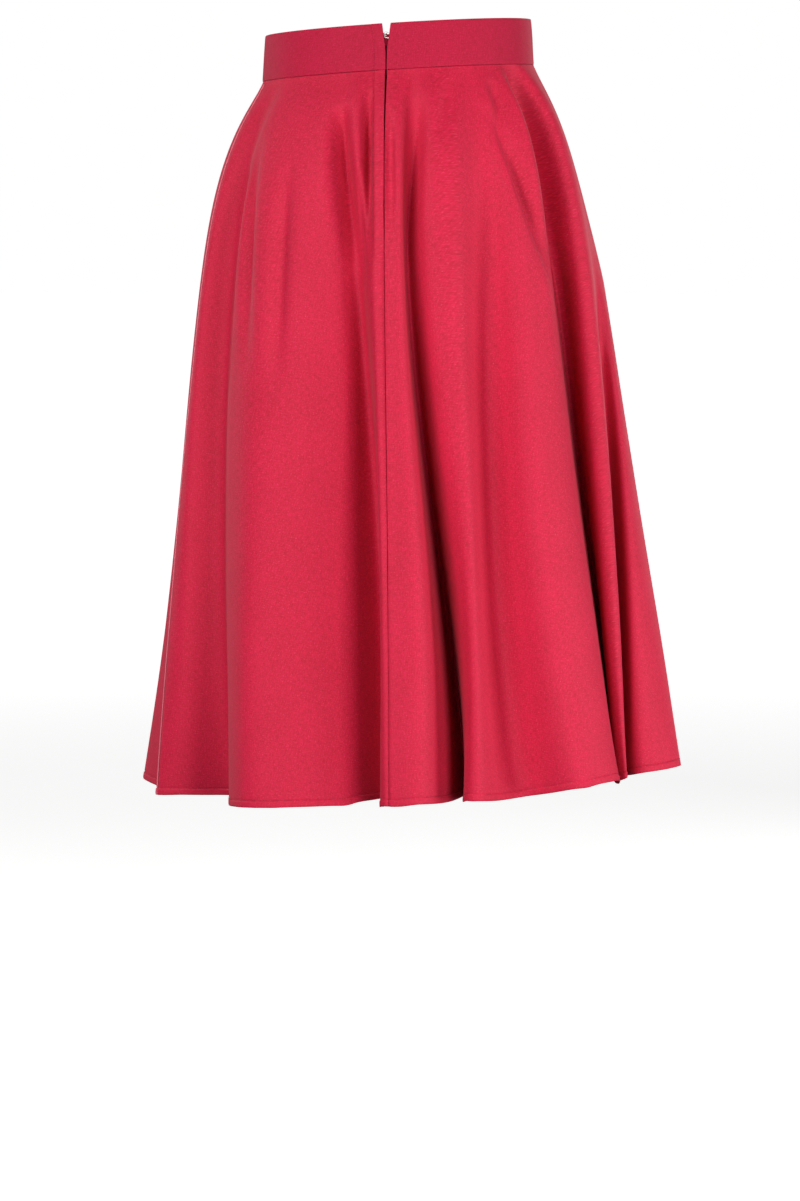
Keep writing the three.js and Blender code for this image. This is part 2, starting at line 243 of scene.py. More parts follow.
@dataclass
class ClothSurface:
    """Outer face of the cloth as a fine grid: one row per level, one column per place along the ring."""

    drops: Array
    points: Array
    normals: Array
    lines: dict[str, int]
    lengths: Array = field(init=False)

    def __post_init__(self) -> None:
        """Works out the length along the ring at every column of every level."""
        steps = np.linalg.norm(np.roll(self.points, -1, axis=1) - self.points, axis=2)
        start = np.zeros((len(self.drops), 1))
        self.lengths = np.concatenate([start, np.cumsum(steps, axis=1)], axis=1)

    def along(self, name: str) -> Array:
        """Length along the ring to a fold line, one per level."""
        return self.lengths[:, self.lines[name]]

    def rounds(self) -> Array:
        """Whole length of the ring, one per level."""
        return self.lengths[:, -1]

    def level_at(self, level: int, along: Array) -> tuple[Array, Array]:
        """Places on one level.

        Args:
            level: Index of the level.
            along: Lengths along the ring.

        Returns:
            Points and unit normals, one row per length.
        """
        known = self.lengths[level]
        wanted = np.mod(along, known[-1])
        closed = (np.vstack([grid[level], grid[level][:1]]) for grid in (self.points, self.normals))
        point, normal = (on_line(wanted, known, values) for values in closed)
        return point, normal / np.linalg.norm(normal, axis=1, keepdims=True)

    def grid(self, rows: Array, along: Array) -> tuple[Array, Array]:
        """Places on several levels.

        Args:
            rows: Indices of the levels.
            along: Lengths along the ring, one row per level.

        Returns:
            Points and unit normals, one row per level.
        """
        places = [self.level_at(row, lengths) for row, lengths in zip(rows, along)]
        return np.stack([place[0] for place in places]), np.stack([place[1] for place in places])

    def at(self, along: float, drop: float, out: float = 0.0) -> tuple[Array, Array]:
        """One place on the cloth.

        Args:
            along: Length along the ring from centre back.
            drop: Length of cloth below the waist seam.
            out: Distance out of the cloth.

        Returns:
            The point and the unit normal there.
        """
        place = float(np.interp(drop, self.drops, np.arange(len(self.drops))))
        low = min(int(place), len(self.drops) - 2)
        share = place - low
        above, below = (self.level_at(level, np.array([along])) for level in (low, low + 1))
        point = above[0][0] * (1 - share) + below[0][0] * share
        normal = above[1][0] * (1 - share) + below[1][0] * share
        normal = normal / np.linalg.norm(normal)
        return point + normal * out, normal

    def frame_at(self, along: float, drop: float) -> Matrix:
        """Frame on the cloth.

        Args:
            along: Length along the ring from centre back.
            drop: Length of cloth below the waist seam.

        Returns:
            Frame in millimetres: x runs along the ring, y up the cloth and z out of it.
        """
        step = 2.0
        point, normal = self.at(along, drop)
        up = Vector(self.at(along, drop - step)[0] - self.at(along, drop + step)[0]).normalized()
        out = Vector(normal)
        round_ring = up.cross(out).normalized()
        up = out.cross(round_ring)
        turn = Matrix((round_ring, up, out)).transposed().to_4x4()
        return Matrix.Translation(Vector(point)) @ turn


@dataclass(frozen=True)
class Drape:
    """Form of the cloth as it hangs from the waistband in deep soft folds."""

    waist_half: Pair = (134.0, 100.0)
    hip_half: Pair = (171.0, 142.0)
    hem_half: Pair = (267.0, 212.0)
    hip_reach: float = 70.0
    hip_rounding: float = 1.25
    length: float = 715.0
    band_height: float = 45.0
    band_flare: float = 3.0
    tilt: float = 3.4
    hem_sway: float = 12.0
    sway_shares: Pair = (0.2, 0.9)
    nip_share: float = 0.12
    crease_skew: float = 0.85
    crease_fade: float = 1.2
    steepest: float = 0.4
    column_step: float = 1.8
    fewest_columns: int = 6
    softness: Pair = (1.0, 5.0)
    soft_samples: int = 4096

    def outline(self, drop: float) -> Pair:
        """Smooth outline at a drop.

        Args:
            drop: Length of cloth below the waist seam, negative on the waistband.

        Returns:
            Half width and half depth.
        """
        if drop <= 0:
            narrow = self.band_flare * drop / self.band_height
            return self.waist_half[0] + narrow, self.waist_half[1] + narrow
        hip = math.exp(-((drop / self.hip_reach) ** self.hip_rounding))
        share = drop / self.length
        sides = zip(self.waist_half, self.hip_half, self.hem_half)
        width, depth = (h + (m - h) * share - (h - w) * hip for w, h, m in sides)
        return width, depth

    def fold_points(self, drop: float) -> Array:
        """Plan points of the fold lines.

        Args:
            drop: Length of cloth below the waist seam.

        Returns:
            One row per line.
        """
        share = max(0.0, drop) / self.length
        turns = np.array([line.turns for line in FOLD_LINES], float).T
        reaches = np.array([(0.0, *line.reaches) for line in FOLD_LINES], float).T
        turn = np.radians(through(turns, share))
        width, depth = self.outline(drop)
        nips = np.array([line.nip for line in FOLD_LINES]) * share / self.nip_share
        reach = through(reaches, share) + nips * math.exp(1.0 - share / self.nip_share)
        radius = 1.0 / np.hypot(np.sin(turn) / width, np.cos(turn) / depth) + reach
        return np.stack([-radius * np.sin(turn), radius * np.cos(turn)], axis=1)

    def curve(self, drop: float, counts: Array) -> Array:
        """Closed smooth plan curve through the fold lines at a drop.

        Args:
            drop: Length of cloth below the waist seam.
            counts: Number of points from each fold line up to the next.

        Returns:
            Plan points in order along the ring.
        """
        p1 = self.fold_points(drop)
        p0, p2, p3 = np.roll(p1, 1, 0), np.roll(p1, -1, 0), np.roll(p1, -2, 0)
        spans = ((p0, p1), (p1, p2), (p2, p3))
        k0, k1, k2 = (np.sqrt(np.linalg.norm(b - a, axis=1, keepdims=True)) for a, b in spans)
        t1 = ((p1 - p0) / k0 - (p2 - p0) / (k0 + k1) + (p2 - p1) / k1) * k1
        t2 = ((p2 - p1) / k1 - (p3 - p1) / (k1 + k2) + (p3 - p2) / k2) * k1
        return np.concatenate([span(*ends) for ends in zip(p1, p2, t1, t2, counts)])

    def counts(self) -> Array:
        """Columns of the fine grid, for even spacing at the hem.

        Returns:
            Number of columns from each fold line up to the next.
        """
        trial = 40
        ring = self.curve(self.length, np.full(len(FOLD_LINES), trial))
        steps = np.linalg.norm(np.roll(ring, -1, 0) - ring, axis=1).reshape(-1, trial)
        return np.maximum(self.fewest_columns, np.rint(steps.sum(1) / self.column_step)).astype(int)

    def soften(self, ring: Array, drop: float) -> Array:
        """Rounds the sharp turns of a ring, as cloth can't crease to a point under its own weight.

        Args:
            ring: Plan points in order along the ring.
            drop: Length of cloth below the waist seam.

        Returns:
            The rounded ring, point for point.
        """
        share = max(0.0, drop) / self.length
        width = self.softness[0] + (self.softness[1] - self.softness[0]) * share
        line = ring[:, 0] + 1j * ring[:, 1]
        place = np.concatenate([[0.0], np.cumsum(np.abs(np.roll(line, -1) - line))])
        total, count = place[-1], self.soft_samples
        even = np.arange(count) * total / count
        closed = np.append(line, line[0])
        spectrum = np.fft.fft(np.interp(even, place, closed))
        waves = np.fft.fftfreq(count, d=total / count)
        smooth = np.fft.ifft(spectrum * np.exp(-2.0 * (math.pi * width * waves) ** 2))
        smooth = np.interp(place[:-1], np.append(even, total), np.append(smooth, smooth[0]))
        return np.stack([smooth.real, smooth.imag], axis=1)

    def press(self, ring: Array, drop: float) -> Array:
        """Presses the creases into a ring.

        Args:
            ring: Plan points in order along the ring.
            drop: Length of cloth below the waist seam.

        Returns:
            The creased ring, point for point.
        """
        share = drop / self.length
        turn = np.degrees(np.arctan2(-ring[:, 0], ring[:, 1]))
        radius = np.hypot(ring[:, 0], ring[:, 1])
        shift = np.zeros_like(ring)
        for crease in CREASES:
            f = (share - crease.shares[0]) / (crease.shares[1] - crease.shares[0])
            if 0.0 < f < 1.0:
                middle = crease.turns[0] + (crease.turns[1] - crease.turns[0]) * f
                away = np.radians((turn - middle + 180.0) % 360.0 - 180.0) * radius
                swell = math.sin(math.pi * f**self.crease_skew) ** self.crease_fade
                depth = crease.depth * swell * bell(away, 0.0, crease.width)
                way = np.radians(turn + crease.lean)
                shift += depth[:, None] * np.stack([np.sin(way), -np.cos(way)], axis=1)
        return ring + shift

    def surface(self, drops: Array) -> ClothSurface:
        """Outer face of the waistband and the skirt.

        A column keeps the same length of cloth between levels, so the folds lift the hem. Then the
        levels are tilted and the hem swings to one side, as in the photograph.

        Args:
            drops: Levels from the top of the waistband to the hem, with the waist seam, 0, among them.

        Returns:
            The fine grid of the outer face.
        """
        counts = self.counts()
        rings = np.stack([self.press(self.soften(self.curve(d, counts), d), d) for d in drops])
        heights = np.zeros(rings.shape[:2])
        for level, drop in enumerate(drops):
            heights[level] = -self.band_height / 2 - drop
            if drop > 0:
                cloth = drop - drops[level - 1]
                spread = np.linalg.norm(rings[level] - rings[level - 1], axis=1)
                fall = np.sqrt(np.maximum(cloth**2 - spread**2, (self.steepest * cloth) ** 2))
                heights[level] = heights[level - 1] - fall
        heights -= rings[..., 0] * math.tan(math.radians(self.tilt))
        below = np.maximum(drops, 0.0)[:, None]
        sway = self.hem_sway * ramp(below / self.length, *self.sway_shares)
        points = np.stack([rings[..., 0] - sway, rings[..., 1], heights], axis=2)
        downwards = np.gradient(points, drops, axis=0)
        sideways = np.roll(points, -1, axis=1) - np.roll(points, 1, axis=1)
        normals = np.cross(downwards, sideways)
        normals /= np.linalg.norm(normals, axis=2, keepdims=True)
        starts = np.concatenate([[0], np.cumsum(counts)])
        lines = {line.name: int(start) for line, start in zip(FOLD_LINES, starts)}
        lines["centre_back_end"] = int(starts[-1])
        return ClothSurface(drops, points, normals, lines)


def linear(hex_colour: str) -> Colour:
    """Turns an sRGB colour into a linear one.

    Args:
        hex_colour: Colour as #rrggbb.

    Returns:
        Red, green and blue shares, and full cover.
    """
    parts = [int(hex_colour[i : i + 2], 16) / 255.0 for i in (1, 3, 5)]
    red, green, blue = (p / 12.92 if p <= 0.04045 else ((p + 0.055) / 1.055) ** 2.4 for p in parts)
    return red, green, blue, 1.0


def add_node(
    tree: Tree,
    kind: str,
    settings: NodeInputs | None = None,
    links: NodeInputs | None = None,
) -> bpy.types.Node:
    """Adds one node.

    Args:
        tree: Node tree to add to.
        kind: Type name of the node, without ShaderNode.
        settings: Values by property name, or by input name or number.
        links: Output sockets by input name or number.

    Returns:
        The new node.
    """
    node = tree.nodes.new(f"ShaderNode{kind}")
    for key, value in (settings or {}).items():
        if isinstance(key, str) and hasattr(node, key):
            setattr(node, key, value)
        else:
            node.inputs[key].default_value = value
    for key, socket in (links or {}).items():
        tree.links.new(socket, node.inputs[key])
    return node


@dataclass(frozen=True)
class Finish:
    """One material, whose nodes end in a single surface shader. Sizes of patterns are millimetres."""

    name: str

    def shade(self, tree: Tree) -> Shading:
        """Settings and links of the surface shader, with the nodes behind them added to the tree."""
        raise NotImplementedError

    def material(self) -> Material:
        """Builds the material.

        Returns:
            The new material.
        """
        material = bpy.data.materials.new(self.name)
        material.use_nodes = True
        tree = material.node_tree
        tree.nodes.clear()
        shader = add_node(tree, "BsdfPrincipled", *self.shade(tree))
        add_node(tree, "OutputMaterial", None, {"Surface": shader.outputs[0]})
        return material


@dataclass(frozen=True)
class CottonTwill(Finish):
    """Piece-dyed cotton twill of medium weight, mercerised and pressed.

    The eye gets a deep crimson that is matt face on, a pale bloom of lifted fibre at a glancing
    angle, and a fine grain of thick and thin yarns under faint diagonal ribs.
    """

    name: str = "cotton_twill"
    deep: str = "#aa072a"
    bright: str = "#cb113e"
    fleck: str = "#e2405f"
    bloom: str = "#ffb0b8"
    shine: float = 0.36
    rib: float = 1.5
    yarn: float = 0.9
    slub: float = 6.0
    speck: float = 1.3
    cloud: Pair = (250 / 7, 125 / 2)

    def shade(self, tree: Tree) -> Shading:
        """Lays yarns, clouds of dye, flecks and ribs on the flat cut of each panel.

        Args:
            tree: Node tree to add to.

        Returns:
            Settings and links of the surface shader.
        """
        cut = add_node(tree, "UVMap", {"uv_map": CUT_MAP}).outputs[0]
        # Yarns are 0.3 mm thick and the ribs 0.6 mm apart; both are drawn coarser so that they show.
        yarn_look = {"Scale": 1.0, "Detail": 2.0, "Roughness": 0.6}
        cloud_look = {"Scale": 1.0, "Detail": 3.0}
        sizes = ((self.yarn, self.slub), (self.slub, self.yarn), self.cloud)
        patterns = []
        for (across, down), look in zip(sizes, (yarn_look, yarn_look, cloud_look)):
            scale = (METRE / across, METRE / down, 1.0)
            place = add_node(tree, "Mapping", {"Scale": scale}, {"Vector": cut})
            patterns.append(add_node(tree, "TexNoise", look, {"Vector": place.outputs[0]}).outputs[0])
        warp, weft, cloud = patterns
        grain = add_node(tree, "Math", {"operation": "ADD"}, {0: warp, 1: weft}).outputs[0]
        yarns = add_node(tree, "MapRange", {"From Min": 0.72, "From Max": 1.28}, {"Value": grain})
        mottle = add_node(tree, "Math", {"operation": "MULTIPLY_ADD", 1: 0.5, 2: -0.25}, {0: cloud})
        both = {0: yarns.outputs[0], 1: mottle.outputs[0]}
        dye = add_node(tree, "Math", {"operation": "ADD", "use_clamp": True}, both)
        dyes = {"data_type": "RGBA", 6: linear(self.deep), 7: linear(self.bright)}
        colour = add_node(tree, "Mix", dyes, {0: dye.outputs[0]})
        # Undyed fibre ends show as pale flecks.
        specks = add_node(tree, "TexNoise", {"Scale": METRE / self.speck, "Detail": 1.0}, {"Vector": cut})
        limits = {"From Min": 0.58, "From Max": 0.8, "To Max": 0.55}
        pale = add_node(tree, "MapRange", limits, {"Value": specks.outputs[0]})
        flecked = {0: pale.outputs[0], 6: colour.outputs[2]}
        colour = add_node(tree, "Mix", {"data_type": "RGBA", 7: linear(self.fleck)}, flecked)
        # A diagonal wave repeats every 0.444 / scale.
        wave = {"bands_direction": "DIAGONAL", "Scale": 0.444 * METRE / self.rib, "Distortion": 0.6}
        ribs = add_node(tree, "TexWave", wave, {"Vector": cut}).outputs[1]
        relief = add_node(tree, "Math", {"operation": "MULTIPLY_ADD", 1: 0.35}, {0: ribs, 2: grain})
        bump = add_node(tree, "Bump", {"Strength": 0.22, "Distance": 0.0004}, {"Height": relief.outputs[0]})
        settings = {
            "Roughness": 0.72,
            "IOR": 1.47,
            "Specular IOR Level": self.shine,
            "Sheen Weight": 0.12,
            "Sheen Roughness": 0.5,
            "Sheen Tint": linear(self.bloom),
        }
        return settings, {"Base Color": colour.outputs[2], "Normal": bump.outputs[0]}


@dataclass(frozen=True)
class SewingThread(Finish):
    """Spun polyester sewing thread: a soft twisted yarn with a slight lustre."""

    name: str = "spun_polyester_thread"
    dark: str = "#860824"
    light: str = "#a01232"
    ply: float = 5 / 9

    def shade(self, tree: Tree) -> Shading:
        """Mixes the light and dark plies.

        Args:
            tree: Node tree to add to.

        Returns:
            Settings and links of the surface shader.
        """
        place = add_node(tree, "TexCoord").outputs["Object"]
        plies = add_node(tree, "TexNoise", {"Scale": METRE / self.ply, "Detail": 1.0}, {"Vector": place})
        shades = {"data_type": "RGBA", 6: linear(self.dark), 7: linear(self.light)}
        colour = add_node(tree, "Mix", shades, {0: plies.outputs[0]})
        return {"Roughness": 0.6, "IOR": 1.5, "Sheen Weight": 0.05}, {"Base Color": colour.outputs[2]}


@dataclass(frozen=True)
class SeamHighlight(SewingThread):
    """Pale colour of the cord along a side seam: a painted highlight where the seam's edge catches the
    light.
    """

    name: str = "pressed_cotton_edge"
    # Both pale pinks are painted highlight along the seam's edge, not the cloth's own colour.
    dark: str = "#d04560"
    light: str = "#f0909e"


@dataclass(frozen=True)
class TapeWeave(Finish):
    """Woven polyester zip tape: flat, with fine lengthways cords."""

    name: str = "woven_polyester_tape"
    dark: str = "#6c0b22"
    light: str = "#8d1230"
    cord: float = 0.9

    def shade(self, tree: Tree) -> Shading:
        """Lays the cords along the tape's length.

        Args:
            tree: Node tree to add to.

        Returns:
            Settings and links of the surface shader.
        """
        cut = add_node(tree, "UVMap", {"uv_map": CUT_MAP}).outputs[0]
        # A wave along x repeats every 0.314 / scale; the cords are drawn twice as wide as they are.
        wave = {"bands_direction": "X", "Scale": 0.314 * METRE / self.cord, "Distortion": 0.3}
        cords = add_node(tree, "TexWave", wave, {"Vector": cut}).outputs[1]
        shades = {"data_type": "RGBA", 6: linear(self.dark), 7: linear(self.light)}
        colour = add_node(tree, "Mix", shades, {0: cords})
        bump = add_node(tree, "Bump", {"Strength": 0.3, "Distance": 0.0003}, {"Height": cords})
        links = {"Base Color": colour.outputs[2], "Normal": bump.outputs[0]}
        return {"Roughness": 0.7, "IOR": 1.5, "Sheen Weight": 0.1}, links


@dataclass(frozen=True)
class NylonCoil(Finish):
    """Dyed nylon filament, wound hot into a coil: smooth, waxy and slightly clear."""

    name: str = "nylon_coil"
    colour: str = "#9c1436"
    rough: Pair = (0.28, 0.45)
    patch: float = 10 / 3

    def shade(self, tree: Tree) -> Shading:
        """Varies the gloss faintly along the filament.

        Args:
            tree: Node tree to add to.

        Returns:
            Settings and links of the surface shader.
        """
        place = add_node(tree, "TexCoord").outputs["Object"]
        patches = add_node(tree, "TexNoise", {"Scale": METRE / self.patch}, {"Vector": place})
        limits = {"To Min": self.rough[0], "To Max": self.rough[1]}
        rough = add_node(tree, "MapRange", limits, {"Value": patches.outputs[0]})
        return {"Base Color": linear(self.colour), "IOR": 1.53}, {"Roughness": rough.outputs[0]}


@dataclass(frozen=True)
class PlatedMetal(Finish):
    """Nickel-plated wire or lacquered die-casting: bright, with fine rub marks from wear."""

    name: str = "nickel_plate"
    colour: str = "#f4f2ee"
    rough: Pair = (0.34, 0.5)
    rub: float = 10 / 9

    def shade(self, tree: Tree) -> Shading:
        """Makes the gloss uneven with rub marks.

        Args:
            tree: Node tree to add to.

        Returns:
            Settings and links of the surface shader.
        """
        place = add_node(tree, "TexCoord").outputs["Object"]
        rubs = add_node(tree, "TexNoise", {"Scale": METRE / self.rub, "Detail": 3.0}, {"Vector": place})
        limits = {"To Min": self.rough[0], "To Max": self.rough[1]}
        rough = add_node(tree, "MapRange", limits, {"Value": rubs.outputs[0]})
        return {"Base Color": linear(self.colour), "Metallic": 1.0}, {"Roughness": rough.outputs[0]}


@dataclass(frozen=True)
class FloorPaint(Finish):
    """Matt white paint with a faint unevenness, which glows more with distance into the white surround.

    Distances from the middle of the floor are metres.
    """

    name: str = "matt_white_paint"
    dark: str = "#f4f3f2"
    light: str = "#fbfaf9"
    patch: float = 1000 / 3
    near: float = 1.2
    far: float = 6.0
    near_glow: float = 0.62

    def shade(self, tree: Tree) -> Shading:
        """Mixes the paint and its glow.

        Args:
            tree: Node tree to add to.

        Returns:
            Settings and links of the surface shader.
        """
        place = add_node(tree, "TexCoord").outputs["Object"]
        uneven = add_node(tree, "TexNoise", {"Scale": METRE / self.patch, "Detail": 2.0}, {"Vector": place})
        shades = {"data_type": "RGBA", 6: linear(self.dark), 7: linear(self.light)}
        colour = add_node(tree, "Mix", shades, {0: uneven.outputs[0]})
        away = add_node(tree, "VectorMath", {"operation": "LENGTH"}, {0: place})
        limits = {"From Min": self.near, "From Max": self.far, "To Min": self.near_glow, "To Max": 1.0}
        shape = {"interpolation_type": "SMOOTHSTEP", **limits}
        glow = add_node(tree, "MapRange", shape, {"Value": away.outputs["Value"]})
        settings = {"Roughness": 0.85, "Emission Color": linear("#ffffff")}
        return settings, {"Base Color": colour.outputs[2], "Emission Strength": glow.outputs[0]}


def take_mesh(shape: bmesh.types.BMesh, name: str) -> Mesh:
    """Turns a finished shape into a mesh.

    Args:
        shape: The shape, which is freed.
        name: Name of the mesh.

    Returns:
        A smooth mesh.
    """
    mesh = bpy.data.meshes.new(name)
    shape.to_mesh(mesh)
    shape.free()
    mesh.shade_smooth()
    return mesh


def grid_mesh(name: str, points: Array, cut: Array) -> Mesh:
    """Sheet on a grid of points.

    Args:
        name: Name of the mesh.
        points: Points in millimetres, rows from the lowest up, columns along the ring.
        cut: Place of each point on the flat cut, in metres.

    Returns:
        A smooth mesh of one layer, with its flat cut as a UV map.
    """
    rows, columns = points.shape[:2]
    sheet = bmesh.new()
    bmesh.ops.create_grid(sheet, x_segments=columns - 1, y_segments=rows - 1, size=1.0)
    mesh = take_mesh(sheet, name)
    flat = np.empty(len(mesh.vertices) * 3)
    mesh.vertices.foreach_get("co", flat)
    column = np.rint((flat[0::3] + 1) / 2 * (columns - 1)).astype(int)
    row = np.rint((flat[1::3] + 1) / 2 * (rows - 1)).astype(int)
    mesh.vertices.foreach_set("co", (points[row, column] / METRE).ravel())
    corners = np.empty(len(mesh.loops), int)
    mesh.loops.foreach_get("vertex_index", corners)
    layer = mesh.uv_layers.new(name=CUT_MAP)
    layer.data.foreach_set("uv", cut[row, column][corners].ravel())
    mesh.update()
    return mesh


def put(name: str, data: bpy.types.ID) -> Piece:
    """Puts a mesh, a curve, a light or a camera into the scene.

    Args:
        name: Name of the new object.
        data: What it shows.

    Returns:
        The new object.
    """
    piece = bpy.data.objects.new(name, data)
    bpy.context.scene.collection.objects.link(piece)
    return piece


def tube_mesh(name: str, points: Array, radius: float, sides: int) -> Mesh:
    """Round wire, closed at both ends.

    Args:
        name: Name of the mesh.
        points: Points along its middle, in millimetres.
        radius: Its radius in millimetres.
        sides: Number of its sides.

    Returns:
        A smooth mesh.
    """
    curve = bpy.data.curves.new(name, "CURVE")
    curve.dimensions = "3D"
    curve.bevel_depth = radius / METRE
    curve.bevel_resolution = max(0, sides // 2 - 2)
    curve.use_fill_caps = True
    spline = curve.splines.new("POLY")
    spline.points.add(len(points) - 1)
    for place, point in zip(spline.points, points):
        place.co = (*(point / METRE), 1.0)
    holder = put(name, curve)
    bpy.context.view_layer.update()
    drawn = holder.evaluated_get(bpy.context.evaluated_depsgraph_get())
    mesh = bpy.data.meshes.new_from_object(drawn)
    mesh.name = name
    bpy.data.objects.remove(holder)
    bpy.data.curves.remove(curve)
    mesh.shade_smooth()
    return mesh


def smooth_route(points: Array, count: int) -> Array:
    """Smooth line through a few points.

    Args:
        points: The points, one row each.
        count: Number of steps from each point to the next.

    Returns:
        Points along the line, one row each.
    """
    padded = np.vstack([2 * points[0] - points[1], points, 2 * points[-1] - points[-2]])
    speeds = (padded[2:] - padded[:-2]) / 2
    spans = [span(*ends, count) for ends in zip(points, points[1:], speeds, speeds[1:])]
    return np.vstack([*spans, points[-1:]])


def add_piece(name: str, mesh: Mesh, material: Material, nodes: Sequence[str] = ()) -> Piece:
    """Puts a finished mesh on the skirt.

    Args:
        name: Name of the piece.
        mesh: Its mesh, in metres and in place.
        material: Its material.
        nodes: CAD nodes that it stands for.

    Returns:
        The new object, which rides on the part's body.
    """
    mesh.materials.clear()
    mesh.materials.append(material)
    piece = put(name, mesh)
    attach(piece, BODY)
    if nodes:
        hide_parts(*nodes)
    log.info("%s: %d faces", name, len(mesh.polygons))
    return piece


def thicken(piece: Piece, thickness: float, rounding: float = 0.0) -> None:
    """Gives a sheet its thickness inwards, and rounds its edges.

    Args:
        piece: The sheet.
        thickness: Thickness of the cloth.
        rounding: Radius of its edges, or 0 to leave them square.
    """
    solid = piece.modifiers.new("thickness", "SOLIDIFY")
    solid.thickness = thickness / METRE
    solid.offset = -1.0
    if rounding > 0.0:
        bevel = piece.modifiers.new("edge", "BEVEL")
        bevel.width = rounding / METRE
        bevel.segments = 3
        bevel.limit_method = "ANGLE"
        bevel.angle_limit = math.radians(60.0)


@dataclass(frozen=True)
class Swell:
    """Slight unevenness of hung cloth: its height, its size along the ring and down, and its seed."""

    height: float
    across: float
    down: float
    seed: float

    def rise(self, along: Array, drop: Array) -> Array:
        """Rise of the cloth.

        Args:
            along: Lengths along the ring, for every place of a grid.
            drop: Drops, one per row of the grid.

        Returns:
            One rise per place.
        """
        down = np.broadcast_to(drop, along.shape) / self.down
        places = zip((along / self.across).ravel(), down.ravel())
        values = [noise.noise(Vector((a, d, self.seed))) for a, d in places]
        return self.height * np.array(values).reshape(along.shape)


@dataclass(frozen=True)
class Ridge:
    """Low ridge beside a sewn edge, or a groove if its height is negative."""

    height: float
    middle: float
    width: float

    def rise(self, away: Array) -> Array:
        """Rise of the cloth by distance from the edge."""
        return self.height * bell(away, self.middle, self.width)


@dataclass(frozen=True)
class PanelCut:
    """One panel: its CAD node, the fold lines at its edges, how these are sewn, and its column spacing."""

    node: str
    lines: tuple[str, str]
    edges: tuple[Edge, Edge]
    step: float


# Distances of a panel's columns from its sewn edge.
EDGE_COLUMNS = {
    Edge.LAP: (0.0, 0.1, 0.5, 1.1, 2.0, 3.2, 5.0, 7.0, 9.0, 10.2, 11.0, 11.6, 12.3, 13.4, 15.0),
    Edge.UNDERLAP: (0.0, 0.05, 0.1, 0.6, 1.3, 2.2, 3.2, 4.5, 6.0, 8.0, 11.0),
    Edge.SIDE: (0.0, 0.1, 0.7, 1.5, 2.5, 4.0, 6.0, 8.5),
}


